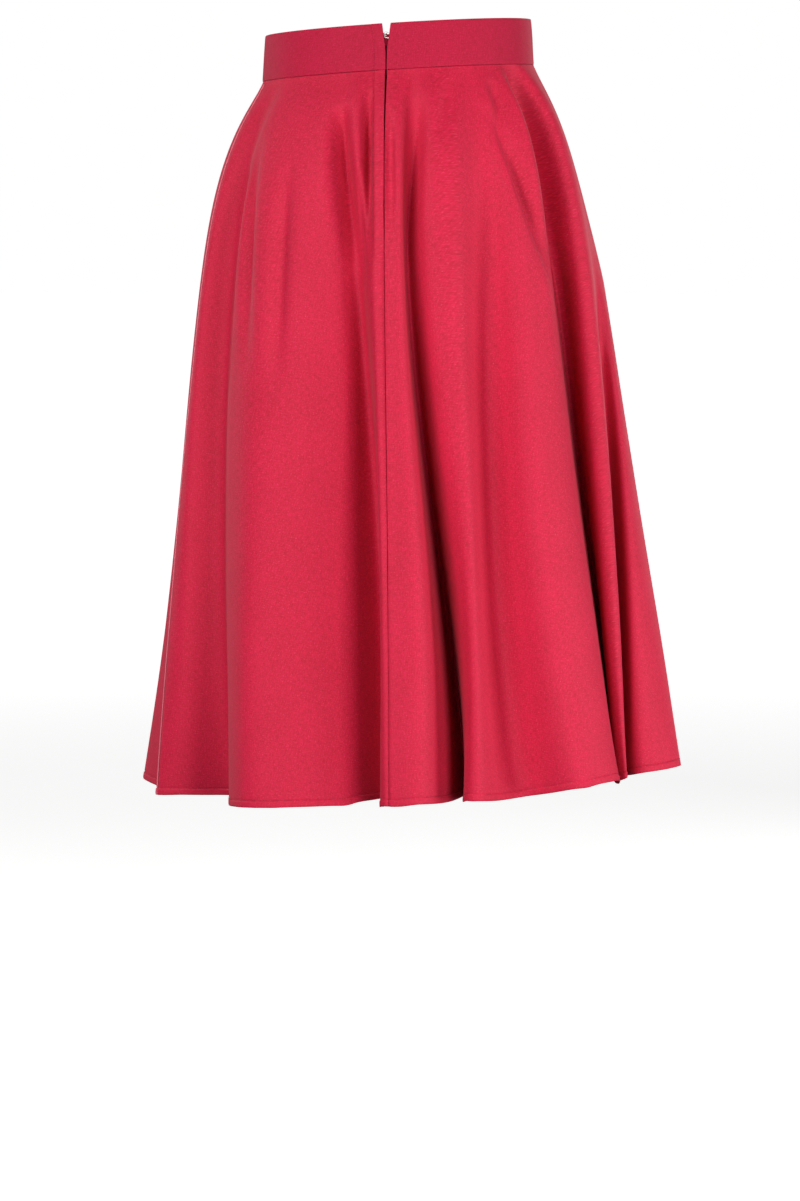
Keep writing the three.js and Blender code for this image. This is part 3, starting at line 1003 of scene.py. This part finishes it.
@dataclass
class SkirtPanels:
    """Front panel and two back panels, seamed at both sides and at centre back.

    Below the zip the right back panel runs on under the left one, and all are tucked up behind the
    waistband, so that no seam lets light through.
    """

    surface: ClothSurface
    drape: Drape
    plan: SewingPlan
    finish: Material
    # Finish of the cords along the side seams: a painted highlight.
    highlight_finish: Material
    cloth: float = 1.2
    seam_gap: float = 0.3
    zip_gap: float = 0.4
    zip_gap_fade: float = 30.0
    waist_gap: float = 0.35
    waist_gap_reach: float = 28.0
    allowance: float = 4.0
    turned_edge: float = 0.8
    seam_start: Pair = (2.0, 14.0)
    underlay: float = 4.0
    underlay_depth: float = 2.4
    tuck_up: float = 4.0
    tuck_in: float = 2.4
    waist_in: float = 0.6
    tuck_from: Pair = (18.0, 30.0)
    side_seam: tuple[Ridge, ...] = (Ridge(-0.7, 0.0, 1.6), Ridge(0.3, 4.5, 2.6))
    back_seam: tuple[Ridge, ...] = (Ridge(-0.8, 0.0, 1.5), Ridge(0.4, 4.2, 2.2))
    seam_fade: Pair = (-2.0, 14.0)
    under_dip: Ridge = Ridge(-0.6, 0.0, 4.0)
    lap_rise: float = 1.1
    lap_step: Pair = (-0.9, 0.7)
    lap_groove: float = 0.5
    groove_wide: float = 0.8
    fold_wide: float = 0.7
    hem_rise: float = 0.5
    hem_step: Pair = (-1.4, 0.2)
    hem_groove: float = 0.45
    hem_fold: float = 0.35
    puckers: tuple[Swell, ...] = (Swell(0.35, 7.0, 60.0, 5.0), Swell(0.25, 16.0, 60.0, 9.0))
    pucker_spread: Pair = (6.0, 9.0)
    loose: Swell = Swell(1.1, 55.0, 190.0, 2.0)
    loose_drops: Pair = (20.0, 140.0)
    waist_dip: float = 0.15
    waist_dip_reach: float = 2.5
    edge_start: float = 3.0
    edge_radius: float = 0.5
    back_step: float = 4.0
    front_step: float = 6.0

    def seamed(self, drop: Array) -> Array:
        """Share by which centre back is a closed seam rather than a zip opening, by drop."""
        return ramp(drop, *(self.plan.zip_end + below for below in self.seam_start))

    def edge_offsets(self, kind: Edge, drops: Array) -> Array:
        """Places of the columns beside a sewn edge.

        Args:
            kind: How the edge is sewn.
            drops: Drops of the levels.

        Returns:
            Distances from the seam line, one row per level.
        """
        start = np.full(drops.shape, self.seam_gap / 2)
        if kind is not Edge.SIDE:
            zip_end = self.plan.zip_end
            start += self.zip_gap * (1.0 - ramp(drops, zip_end - self.zip_gap_fade, zip_end))
            start += self.waist_gap * bell(np.maximum(drops, 0.0), 0.0, self.waist_gap_reach)
        offsets = np.add.outer(start, np.array(EDGE_COLUMNS[kind]))
        if kind is Edge.UNDERLAP:
            offsets[:, 0] -= self.underlay * self.seamed(drops)
        return offsets

    def columns(self, panel: PanelCut, rows: Array) -> Array:
        """Places of a panel's columns.

        Args:
            panel: The panel.
            rows: Indices of its levels on the cloth surface.

        Returns:
            Lengths along the ring, one row per level, one entry per column.
        """
        lengths, drops = self.surface.lengths[rows], self.surface.drops[rows]
        low, high = (self.surface.lines[line] for line in panel.lines)
        stride = max(1, round(panel.step / self.drape.column_step))
        picks = np.unique(np.append(np.arange(low, high, stride), high))
        start = lengths[:, [low]] + self.edge_offsets(panel.edges[0], drops)
        end = lengths[:, [high]] - self.edge_offsets(panel.edges[1], drops)[:, ::-1]
        share = (lengths[:, picks] - lengths[:, [low]]) / (lengths[:, [high]] - lengths[:, [low]])
        middle = start[:, -1:] + share * (end[:, :1] - start[:, -1:])
        return np.hstack([start, middle[:, 1:-1], end])

    def edge_relief(self, kind: Edge, away: Array, drop: Array) -> Array:
        """Rise of the cloth beside a sewn edge.

        Args:
            kind: How the edge is sewn.
            away: Distances from the edge.
            drop: Drops, one per row.

        Returns:
            Rise out of the cloth, one per place.
        """
        if kind is Edge.SIDE:
            return sum(ridge.rise(away) for ridge in self.side_seam)
        zip_end, wide = self.plan.zip_end, self.plan.lap_wide
        zipped = 1.0 - ramp(drop, *(zip_end + below for below in self.seam_fade))
        seam = (1.0 - zipped) * sum(ridge.rise(away) for ridge in self.back_seam)
        if kind is Edge.UNDERLAP:
            return zipped * self.under_dip.rise(away) + seam
        lap = self.lap_rise * (1.0 - ramp(away, *(wide + beyond for beyond in self.lap_step)))
        grooves = bell(away, wide, self.groove_wide) + bell(away, 0.0, self.fold_wide)
        return zipped * (lap - self.lap_groove * grooves) + seam

    def turned_in(self, kind: Edge, drop: Array) -> Array:
        """Depth of the seam allowance that turns inwards at an edge.

        Args:
            kind: How the edge is sewn.
            drop: Drops of the levels.

        Returns:
            One depth per level.
        """
        if kind is Edge.UNDERLAP:
            return self.turned_edge + (self.underlay_depth - self.turned_edge) * self.seamed(drop)
        return np.full(drop.shape, self.allowance if kind is Edge.SIDE else self.turned_edge)

    def hem_relief(self, along: Array, drop: Array) -> Array:
        """Rise of the turned hem, its stitched groove and the small puckers above it.

        Args:
            along: Lengths along the hem.
            drop: Drops, one per row.

        Returns:
            Rise out of the cloth, one per place.
        """
        up, deep = self.drape.length - drop, self.plan.hem_deep
        turned = self.hem_rise * (1.0 - ramp(up, *(deep + above for above in self.hem_step)))
        groove = self.hem_groove * bell(up, deep, self.groove_wide)
        fold = self.hem_fold * bell(up, 0.0, self.fold_wide)
        pucker = sum(swell.rise(along, drop) for swell in self.puckers)
        return turned - groove - fold + pucker * bell(up, *self.pucker_spread)

    def looseness(self, along: Array, drop: Array) -> Array:
        """Slow rise and fall of the cloth where it hangs free below the hips."""
        return ramp(drop, *self.loose_drops) * self.loose.rise(along, drop)

    def relief(self, panel: PanelCut, along: Array, rows: Array, tuck: Array) -> Array:
        """Rise of a whole panel out of the smooth cloth.

        Args:
            panel: The panel.
            along: Lengths along the ring, one row per level.
            rows: Indices of its levels on the cloth surface.
            tuck: Share by which each column is tucked up behind the waistband.

        Returns:
            One rise per place.
        """
        lengths, drop = self.surface.lengths[rows], self.surface.drops[rows][:, None]
        low, high = (lengths[:, [self.surface.lines[line]]] for line in panel.lines)
        hem_along = np.broadcast_to(along[-1:, :], along.shape)
        relief = self.edge_relief(panel.edges[0], along - low, drop)
        relief = relief + self.edge_relief(panel.edges[1], high - along, drop)
        relief = relief + self.hem_relief(hem_along, drop) + self.looseness(hem_along, drop)
        relief -= self.waist_dip * np.exp(-drop / self.waist_dip_reach)
        relief[:2] = -self.waist_in - (self.tuck_in - self.waist_in) * tuck
        turned = [(0, panel.edges[0]), (-1, panel.edges[1])]
        if panel.edges[0] is Edge.UNDERLAP:
            turned.append((1, Edge.UNDERLAP))
        for column, kind in turned:
            relief[:, column] -= self.turned_in(kind, drop[:, 0])
        return relief

    def cut_map(self, along: Array, drop: Array, middle: float) -> Array:
        """Lays a panel out on the flat cut, a ring sector.

        Args:
            along: Lengths along the ring, one row per level.
            drop: Drops, one per row.
            middle: Length along the hem where the straight grain runs.

        Returns:
            Places on the flat cut in metres.
        """
        waist, hem = self.surface.rounds()[[np.searchsorted(self.surface.drops, 0.0), -1]]
        fan = (hem - waist) / self.drape.length
        inner = waist / fan
        turn = (along[-1:, :] - middle) / hem * fan
        radius = inner + drop
        return np.stack([radius * np.sin(turn), -radius * np.cos(turn)], axis=2) / METRE

    def panel(self, panel: PanelCut) -> Piece:
        """Builds one panel. Its first two levels are tucked up behind the waistband.

        Args:
            panel: The panel.

        Returns:
            The panel, dressed.
        """
        tucked, waist = np.searchsorted(self.surface.drops, (-self.tuck_up, 0.0))
        rows = np.array([tucked, waist, *range(waist, len(self.surface.drops))])
        drop = self.surface.drops[rows][:, None]
        along = self.columns(panel, rows)
        from_zip = np.minimum(along[1], self.surface.rounds()[waist] - along[1])
        tuck = ramp(from_zip, *self.tuck_from)
        points, normals = self.surface.grid(rows, along)
        points[0] = points[1] + (points[0] - points[1]) * tuck[:, None]
        points = points + normals * self.relief(panel, along, rows, tuck)[..., None]
        middle = float(self.surface.along(panel.lines[0])[-1])
        if panel.edges == (Edge.SIDE, Edge.SIDE):
            middle = float(along[-1].mean())
        cut = self.cut_map(along, drop, middle)
        mesh = grid_mesh(panel.node, points[::-1], cut[::-1])
        piece = add_piece(f"{panel.node}_cloth", mesh, self.finish, [panel.node])
        thicken(piece, self.cloth)
        return piece

    def seam_edge(self, name: str, line: str) -> Piece:
        """Lays a cord along the pressed edge of a side seam, coloured pale as a painted highlight.

        Args:
            name: Name of the piece.
            line: Fold line that the seam runs down.

        Returns:
            A thin cord of cloth along the seam, coloured as a painted highlight.
        """
        rows = np.flatnonzero(self.surface.drops >= self.edge_start)
        along = self.surface.along(line)
        points, normals = self.surface.grid(rows, along[rows][:, None])
        rise = self.looseness(np.full(len(rows), along[-1]), self.surface.drops[rows])
        line_points = points[:, 0] + normals[:, 0] * rise[:, None]
        mesh = tube_mesh(name, line_points, self.edge_radius, 8)
        return add_piece(name, mesh, self.highlight_finish)

    def build(self) -> list[Piece]:
        """Builds the three panels and the cords of painted highlight along the side seams.

        Returns:
            The new pieces.
        """
        right, front, left = (Edge.UNDERLAP, Edge.SIDE), (Edge.SIDE, Edge.SIDE), (Edge.SIDE, Edge.LAP)
        panels = (
            PanelCut("back_right_panel", ("centre_back", "side_right"), right, self.back_step),
            PanelCut("front_panel", ("side_right", "side_left"), front, self.front_step),
            PanelCut("back_left_panel", ("side_left", "centre_back_end"), left, self.back_step),
        )
        pieces = [self.panel(panel) for panel in panels]
        pieces.append(self.seam_edge("right_seam_edge", "side_right"))
        pieces.append(self.seam_edge("left_seam_edge", "side_left"))
        return pieces


@dataclass
class Waistband:
    """Straight doubled waistband, open in a narrow V at centre back.

    The gap between its ends is given by height above the waist seam.
    """

    surface: ClothSurface
    drape: Drape
    finish: Material
    bottom: float = 0.3
    proud: float = 0.5
    thickness: float = 2.0
    rounding: float = 0.6
    columns: int = 300
    gap_heights: tuple[float, ...] = (0.3, 18.0, 33.0, 45.0)
    gaps: tuple[float, ...] = (1.0, 1.3, 5.0, 8.2)
    end_columns: tuple[float, ...] = (0.0, 0.6, 1.4, 2.6, 4.4, 7.0, 9.0, 10.4, 11.2, 11.9, 12.8, 14.0)
    end_groove: Ridge = Ridge(-0.45, 11.4, 0.8)
    end_step: Pair = (10.6, 12.0)
    end_rise: float = 0.5
    bottom_roll: Ridge = Ridge(-0.25, 0.0, 1.6)
    top_roll: Ridge = Ridge(-0.3, 0.0, 1.5)
    waves: Swell = Swell(0.5, 42.0, 30.0, 3.0)
    wave_spread: Pair = (24.0, 18.0)

    def relief(self, along: Array, up: Array, lap_end: Array) -> Array:
        """Rise of the band out of the smooth cloth.

        Args:
            along: Lengths along the ring.
            up: Heights above the waist seam, one per row.
            lap_end: Distances from the end of the band that carries the lap.

        Returns:
            One rise per place.
        """
        below_top = self.drape.band_height - up
        rolled = self.proud + self.bottom_roll.rise(up) + self.top_roll.rise(below_top)
        waved = self.waves.rise(along, up) * bell(up, *self.wave_spread)
        stitched = self.end_rise * (1.0 - ramp(lap_end, *self.end_step)) + self.end_groove.rise(lap_end)
        return rolled + waved + stitched

    def build(self) -> Piece:
        """Builds the waistband with its rolled edges and stitched end.

        Returns:
            The waistband, dressed.
        """
        height = self.drape.band_height
        rows = np.flatnonzero((self.surface.drops <= -self.bottom) & (self.surface.drops >= -height))
        up = -self.surface.drops[rows][:, None]
        half_gap = np.interp(up, self.gap_heights, self.gaps) / 2
        rounds = self.surface.rounds()[rows][:, None]
        ends = np.array(self.end_columns)[None, :]
        share = np.linspace(0.0, 1.0, self.columns)[None, 1:-1]
        low, high = half_gap + ends, rounds - half_gap - ends[:, ::-1]
        along = np.hstack([low, low[:, -1:] + share * (high[:, :1] - low[:, -1:]), high])
        points, normals = self.surface.grid(rows, along)
        points = points + normals * self.relief(along, up, rounds - half_gap - along)[..., None]
        cut = np.stack([along / METRE, np.broadcast_to(up, along.shape) / METRE], axis=2)
        mesh = grid_mesh("waistband", points[::-1], cut[::-1])
        piece = add_piece("waistband_cloth", mesh, self.finish, ["waistband"])
        thicken(piece, self.thickness, self.rounding)
        return piece


@dataclass
class Stitching:
    """Machine stitches of the lap, its bar tack and the hem. Rises are distances out of the cloth."""

    surface: ClothSurface
    drape: Drape
    plan: SewingPlan
    finish: Material
    stitch: float = 2.3
    pitch: float = 2.8
    radius: float = 0.24
    reach: float = 1.0
    lap_top: float = 41.0
    lap_inset: float = 0.3
    lap_lean: float = 1.5
    lean_heights: Pair = (26.0, 42.0)
    band_rise: float = 0.95
    lap_rise: float = 0.75
    tack_below: float = 2.0
    tack_inset: float = 0.6
    tack_pitch: float = 1.1
    tack_rise: float = 0.9
    hem_step: float = 3.0
    hem_rise: float = -0.05

    def ball(self) -> Mesh:
        """Small ball that is drawn out into a stitch.

        Returns:
            A ball of radius 1.
        """
        shape = bmesh.new()
        bmesh.ops.create_uvsphere(shape, u_segments=6, v_segments=4, radius=1.0)
        return take_mesh(shape, "stitch")

    def sew(self, name: str, route: Array, pitch: float) -> Piece:
        """Sews one line of stitches.

        Args:
            name: Name of the piece.
            route: Rows of along, drop and rise out of the cloth, close together.
            pitch: Length from one stitch to the next.

        Returns:
            The line of stitches as one piece.
        """
        found = [self.surface.at(*row) for row in route]
        points, normals = (np.array([place[k] for place in found]) for k in (0, 1))
        place = np.concatenate([[0.0], np.cumsum(np.linalg.norm(np.diff(points, axis=0), axis=1))])
        middles = np.arange(pitch / 2, place[-1], pitch)
        ends = [on_line(middles + way, place, points) for way in (-self.reach, self.reach)]
        outs = on_line(middles, place, normals)
        size = Matrix.Diagonal((self.stitch / 2, self.radius, self.radius, 1.0))
        thread, ball = bmesh.new(), self.ball()
        for start, end, normal in zip(*ends, outs):
            run, out = Vector(end - start).normalized(), Vector(normal).normalized()
            side = out.cross(run).normalized()
            turn = Matrix((run, side, out)).transposed().to_4x4()
            centre = Matrix.Translation(Vector((start + end) / 2))
            one = ball.copy()
            one.transform(Matrix.Scale(1 / METRE, 4) @ centre @ turn @ size)
            thread.from_mesh(one)
            bpy.data.meshes.remove(one)
        bpy.data.meshes.remove(ball)
        return add_piece(name, take_mesh(thread, name), self.finish)

    def build(self) -> list[Piece]:
        """Sews the lap, the bar tack and the hem.

        Returns:
            The lines of stitches.
        """
        wide, zip_end = self.plan.lap_wide, self.plan.zip_end
        drops = np.linspace(-self.lap_top, zip_end, 160)
        lean = self.lap_lean * ramp(-drops, *self.lean_heights)
        rise = np.where(drops < 0.0, self.band_rise, self.lap_rise)
        lap = np.stack([-wide - lean - self.lap_inset, drops, rise], axis=1)
        across = np.linspace(-wide, -self.tack_inset, 24)
        along = np.arange(0.0, float(self.surface.rounds()[-1]), self.hem_step)
        tack, hem = (
            np.stack([line, np.full(len(line), drop), np.full(len(line), out)], axis=1)
            for line, drop, out in (
                (across, zip_end + self.tack_below, self.tack_rise),
                (along, self.drape.length - self.plan.hem_deep, self.hem_rise),
            )
        )
        return [
            self.sew("lap_stitching", lap, self.pitch),
            self.sew("zip_bar_tack", tack, self.tack_pitch),
            self.sew("hem_stitching", hem, self.pitch),
        ]


@dataclass(frozen=True)
class Plate:
    """Metal plate with rounded edges: width, height and thickness, and where its middle is.

    taper is the width of its lower end as a share of its width.
    """

    size: Point
    middle: Point
    taper: float
    rounding: float

    def add_to(self, shape: bmesh.types.BMesh, place: Matrix) -> None:
        """Adds the plate to a shape.

        Args:
            shape: Shape to add to, in metres.
            place: Frame of the part, in millimetres.
        """
        made = bmesh.ops.create_cube(shape, size=1.0)["verts"]
        for vert in made:
            narrow = self.taper if vert.co.y < 0 else 1.0
            wide, tall, deep = self.size
            vert.co = Vector((vert.co.x * wide * narrow, vert.co.y * tall, vert.co.z * deep))
        edges = list({edge for vert in made for edge in vert.link_edges})
        rounded = bmesh.ops.bevel(
            shape, geom=edges, offset=self.rounding, segments=3, profile=0.5, affect="EDGES", material=-1
        )["verts"]
        moved = Matrix.Scale(1 / METRE, 4) @ place @ Matrix.Translation(Vector(self.middle))
        bmesh.ops.transform(shape, matrix=moved, verts=rounded)


@dataclass
class ZipFastener:
    """Concealed zip behind the lap: two tapes, a nylon coil, slider, pull and bottom stop.

    Depths are distances behind the outer face of the cloth.
    """

    surface: ClothSurface
    tape_finish: Material
    coil_finish: Material
    metal_finish: Material
    top: float = 24.0
    end: float = 170.0
    centre: float = -6.0
    gap: float = 0.3
    chain_wide: float = 4.4
    chain_deep: float = 1.5
    coil_reach: float = 1.05
    coil_steps: int = 9
    coil_pitch: float = 1.3
    coil_below: float = 0.4
    filament: float = 0.32
    tape_wide: float = 9.0
    tape_deep: float = 0.6
    tape_depth: float = 3.9
    edge_depth: float = 1.5
    slider: Pair = (6.4, 8.5)
    slider_depths: Pair = (2.6, 5.8)
    slider_taper: float = 0.72
    plate: float = 0.8
    rounding: float = 0.3
    pull: Point = (4.0, 14.0, 0.8)
    pull_depth: float = 1.5
    stop: Point = (5.0, 2.0, 2.0)
    stop_below: float = 0.6
    post: Pair = (1.8, 3.2)
    post_rise: float = 2.0
    post_seat: float = 0.1
    post_taper: float = 0.6
    pull_taper: float = 0.8
    pull_rounding: float = 0.34
    stop_rounding: float = 0.4

    def tape(self, name: str, side: int) -> Piece:
        """Builds one tape, from the coil out to its sewn edge.

        Args:
            name: Name of the CAD node that it stands for.
            side: 1 on the right of the coil, as worn, -1 on its left.

        Returns:
            The tape, dressed.
        """
        inner = self.centre + side * (self.chain_wide / 2 + self.gap)
        shares = np.linspace(0.0, 1.0, 9)[::side]
        drops = np.linspace(-self.top, self.end, 78)
        across = inner + side * self.tape_wide * shares
        depths = self.tape_depth + (self.edge_depth - self.tape_depth) * shares
        points = np.array([[self.surface.at(a, d, -o)[0] for a, o in zip(across, depths)] for d in drops])
        width = np.broadcast_to(shares * self.tape_wide, points.shape[:2])
        cut = np.stack([width, np.broadcast_to(drops[:, None], width.shape)], axis=2) / METRE
        mesh = grid_mesh(name, points[::-1], cut[::-1])
        piece = add_piece(f"{name}_weave", mesh, self.tape_finish, [name])
        thicken(piece, self.tape_deep)
        return piece

    def coil(self) -> Piece:
        """Winds the two interlocked rows of the coil.

        Returns:
            Both rows as one piece.
        """
        top = -self.top + self.slider[1] + self.coil_below
        turn = np.arange(0.0, (self.end - top) / self.coil_pitch, 1 / self.coil_steps)
        drop = top + turn * self.coil_pitch
        wound = bmesh.new()
        for side, start in ((-1, 0.0), (1, math.pi)):
            angle = 2 * math.pi * turn * side + start
            along = self.centre + side * self.coil_reach + self.coil_reach * np.cos(angle)
            depth = self.tape_depth + self.tape_deep / 2
            depth = depth + (self.chain_deep / 2 - self.filament) * np.sin(angle)
            points = np.array([self.surface.at(a, d, -o)[0] for a, d, o in zip(along, drop, depth)])
            row = tube_mesh("zip_coil_row", points, self.filament, 4)
            wound.from_mesh(row)
            bpy.data.meshes.remove(row)
        mesh = take_mesh(wound, "zip_chain")
        return add_piece("zip_coil", mesh, self.coil_finish, ["zip_chain"])

    def hardware(self, name: str, plates: Sequence[Plate], place: Matrix) -> Piece:
        """Makes one metal part.

        Args:
            name: Name of the CAD node that it stands for.
            plates: The plates that it is made of.
            place: Frame of the part, in millimetres.

        Returns:
            The part, dressed.
        """
        shape = bmesh.new()
        for plate in plates:
            plate.add_to(shape, place)
        bmesh.ops.recalc_face_normals(shape, faces=shape.faces)
        return add_piece(f"{name}_metal", take_mesh(shape, name), self.metal_finish, [name])

    def build(self) -> list[Piece]:
        """Builds the whole zip.

        Returns:
            The new pieces.
        """
        wide, tall = self.slider
        front, back = self.slider_depths
        middles = (-front - self.plate / 2, -back + self.plate / 2)
        size = (wide, tall, self.plate)
        plates = [Plate(size, (0.0, 0.0, z), self.slider_taper, self.rounding) for z in middles]
        post = (*self.post, back - front - 2 * self.plate + 2 * self.post_seat)
        at_post = (0.0, self.post_rise, -(front + back) / 2)
        plates.append(Plate(post, at_post, self.post_taper, self.rounding))
        at_pull = (0.0, tall / 4 - self.pull[1] / 2, -self.pull_depth - self.pull[2] / 2)
        at_clip = (0.0, -self.stop[1] / 2 - self.stop_below, -self.tape_depth - self.tape_deep / 2)
        pull = Plate(self.pull, at_pull, self.pull_taper, self.pull_rounding)
        clip = Plate(self.stop, at_clip, 1.0, self.stop_rounding)
        at_slider = self.surface.frame_at(self.centre, -self.top + tall / 2)
        at_stop = self.surface.frame_at(self.centre, self.end)
        return [
            self.tape("zip_tape_left", -1),
            self.tape("zip_tape_right", 1),
            self.coil(),
            self.hardware("zip_slider", plates, at_slider),
            self.hardware("zip_pull", [pull], at_slider),
            self.hardware("zip_stop", [clip], at_stop),
        ]


@dataclass
class HookAndEye:
    """Wire hook and eye on the inside of the waistband's ends.

    Each wire is the same above and below its middle. Half a route runs from a sewn end to the middle,
    as rows of length along the ring, rise, and distance out of the cloth.
    """

    surface: ClothSurface
    finish: Material
    wire: float = 1.2
    height: float = 33.9
    hook_half: tuple[Point, ...] = (
        (-7.5, -2.8, -2.6),
        (-3.7, -1.4, -2.6),
        (-1.2, -1.0, -1.6),
        (-0.2, -1.0, -3.25),
        (-1.2, -1.0, -4.9),
        (-3.2, 0.0, -4.95),
    )
    eye_half: tuple[Point, ...] = (
        (8.0, -3.0, -2.7),
        (4.6, -2.8, -2.9),
        (2.2, -2.8, -3.1),
        (0.0, -2.7, -3.25),
        (-1.5, -2.1, -3.25),
        (-2.0, 0.0, -3.25),
    )

    def bend(self, name: str, half: Sequence[Point]) -> Piece:
        """Bends one wire in the frame of the opening.

        Args:
            name: Name of the CAD node that it stands for.
            half: Half its route.

        Returns:
            The wire, dressed.
        """
        place = self.surface.frame_at(0.0, -self.height)
        other_half = [(along, -rise, out) for along, rise, out in half[-2::-1]]
        line = smooth_route(np.array([*half, *other_half]), 10)
        points = np.array([place @ Vector(point) for point in line])
        mesh = tube_mesh(name, points, self.wire / 2, 12)
        return add_piece(f"{name}_wire", mesh, self.finish, [name])

    def build(self) -> list[Piece]:
        """Bends the hook and the eye."""
        return [self.bend("hook", self.hook_half), self.bend("eye", self.eye_half)]


@dataclass(frozen=True)
class SoftLight:
    """Rectangular soft light: azimuth from the camera's, distance and height, size, and power in watts."""

    name: str
    azimuth: float
    place: Pair
    size: Pair
    power: float


LIGHTS = (
    SoftLight("high_left", -42.0, (2.2, 0.9), (0.8, 1.2), 37.0),
    SoftLight("low_left", -22.0, (2.2, -0.5), (0.7, 1.2), 19.0),
    SoftLight("low_right", 28.0, (2.2, -0.5), (0.8, 1.2), 28.0),
    SoftLight("side_right", 75.0, (2.2, -0.5), (0.7, 1.2), 28.0),
    SoftLight("front_left", -122.0, (2.4, 0.1), (0.9, 1.6), 15.0),
    SoftLight("front_right", 140.0, (2.4, 0.1), (0.9, 1.6), 14.0),
)


@dataclass
class Studio:
    """White studio: pale floor, four soft lights on the back of the skirt, two beyond it, and the camera.

    Places are metres.
    """

    azimuth: float = 186.0
    distance: float = 4.0
    rise: float = 0.365
    target: Point = (-0.002, 0.0, -0.545)
    sensor: float = 36.0
    focal_pixels: float = 4000.0
    image_height: float = 1201.0
    floor_height: float = -1.14
    floor_half: float = 60.0
    lit_height: float = -0.4
    fill: float = 0.05

    def spot(self, azimuth: float, distance: float, height: float) -> Vector:
        """Point at an azimuth and a distance from the skirt's axis."""
        turn = math.radians(azimuth)
        return Vector((math.sin(turn) * distance, -math.cos(turn) * distance, height))

    def aim(self, piece: Piece, place: Vector, look: Vector) -> None:
        """Moves a light or the camera to a place and aims it at a point."""
        piece.location = place
        piece.rotation_euler = (look - place).to_track_quat("-Z", "Y").to_euler()

    def add_camera(self) -> None:
        """Places the camera at the photograph's viewing angle."""
        lens = bpy.data.cameras.new("camera")
        lens.sensor_fit = "VERTICAL"
        lens.sensor_height = self.sensor
        lens.lens = self.sensor * self.focal_pixels / self.image_height
        look = Vector(self.target)
        level = math.sqrt(self.distance**2 - self.rise**2)
        bpy.context.scene.camera = put("camera", lens)
        self.aim(bpy.context.scene.camera, look + self.spot(self.azimuth, level, self.rise), look)

    def add_light(self, soft: SoftLight) -> None:
        """Adds one light, aimed at the middle of the skirt.

        Args:
            soft: The light.
        """
        lamp = bpy.data.lights.new(soft.name, "AREA")
        lamp.shape = "RECTANGLE"
        lamp.size, lamp.size_y = soft.size
        lamp.energy = soft.power
        place = self.spot(self.azimuth + soft.azimuth, *soft.place)
        self.aim(put(soft.name, lamp), place, Vector((0.0, 0.0, self.lit_height)))

    def add_world(self) -> None:
        """Adds the white surround: bright behind the skirt, a weak fill on it."""
        world = bpy.data.worlds.new("white_studio")
        bpy.context.scene.world = world
        world.use_nodes = True
        tree = world.node_tree
        tree.nodes.clear()
        white = linear("#ffffff")
        fill = add_node(tree, "Background", {"Color": white, "Strength": self.fill})
        seen = add_node(tree, "Background", {"Color": white, "Strength": 1.0})
        direct = add_node(tree, "LightPath").outputs["Is Camera Ray"]
        mix = add_node(tree, "MixShader", None, {0: direct, 1: fill.outputs[0], 2: seen.outputs[0]})
        add_node(tree, "OutputWorld", None, {"Surface": mix.outputs[0]})
        bpy.context.scene.view_settings.view_transform = "Standard"

    def add_floor(self) -> None:
        """Adds the floor, which neither tints nor mirrors in the cloth."""
        slab = bmesh.new()
        bmesh.ops.create_grid(slab, x_segments=1, y_segments=1, size=self.floor_half)
        bmesh.ops.translate(slab, verts=slab.verts, vec=(0.0, 0.0, self.floor_height))
        mesh = take_mesh(slab, "floor")
        mesh.materials.append(FloorPaint().material())
        floor = put("floor", mesh)
        floor.visible_diffuse = False
        floor.visible_glossy = False

    def build(self) -> None:
        """Sets up the studio."""
        self.add_camera()
        for soft in LIGHTS:
            self.add_light(soft)
        self.add_world()
        self.add_floor()


def levels(drape: Drape) -> Array:
    """Levels of the cloth surface: close at the waistband's edges and the hem, wider between.

    Args:
        drape: Form of the cloth.

    Returns:
        Drops from the top of the waistband to the hem.
    """
    top, hem = drape.band_height, drape.length
    top_edge = top - np.array([0.0, 0.5, 1.2, 2.2])
    band = -np.concatenate([top_edge, np.linspace(top - 4.0, 4.0, 16), [2.4, 1.2, 0.3]])
    upper = np.array([0.0, 0.8, 1.8, 3.2, 5.0, *np.arange(8.0, 240.0, 4.0)])
    lower = np.arange(240.0, hem - 18.0, 6.0)
    hem_edge = hem - np.array([14.0, 11.0, 9.4, 8.4, 7.7, 7.0, 6.3, 5.6, 4.4, 2.8, 1.5, 0.7, 0.0])
    return np.concatenate([band, upper, lower, hem_edge])


def main() -> None:
    """Builds the skirt, its fastening and the studio."""
    logging.basicConfig(level=logging.INFO, format="%(name)s: %(message)s")
    Studio().build()
    drape, plan = Drape(), SewingPlan()
    surface = drape.surface(levels(drape))
    twill = CottonTwill().material()
    # The band's twill is the panels' twill in darker shades: painted shade, for a band that falls darker
    # than the panels.
    shaded_band_twill = CottonTwill("cotton_twill_band", "#9b0628", "#b40d39", "#c8304f", shine=0.25).material()
    lacquer = PlatedMetal("lacquered_zinc", "#8e1230", (0.3, 0.45)).material()
    # The cords along the side seams carry a painted highlight.
    SkirtPanels(surface, drape, plan, twill, SeamHighlight().material()).build()
    Waistband(surface, drape, shaded_band_twill).build()
    Stitching(surface, drape, plan, SewingThread().material()).build()
    ZipFastener(surface, TapeWeave().material(), NylonCoil().material(), lacquer).build()
    HookAndEye(surface, PlatedMetal().material()).build()


if __name__ == "__main__":
    main()
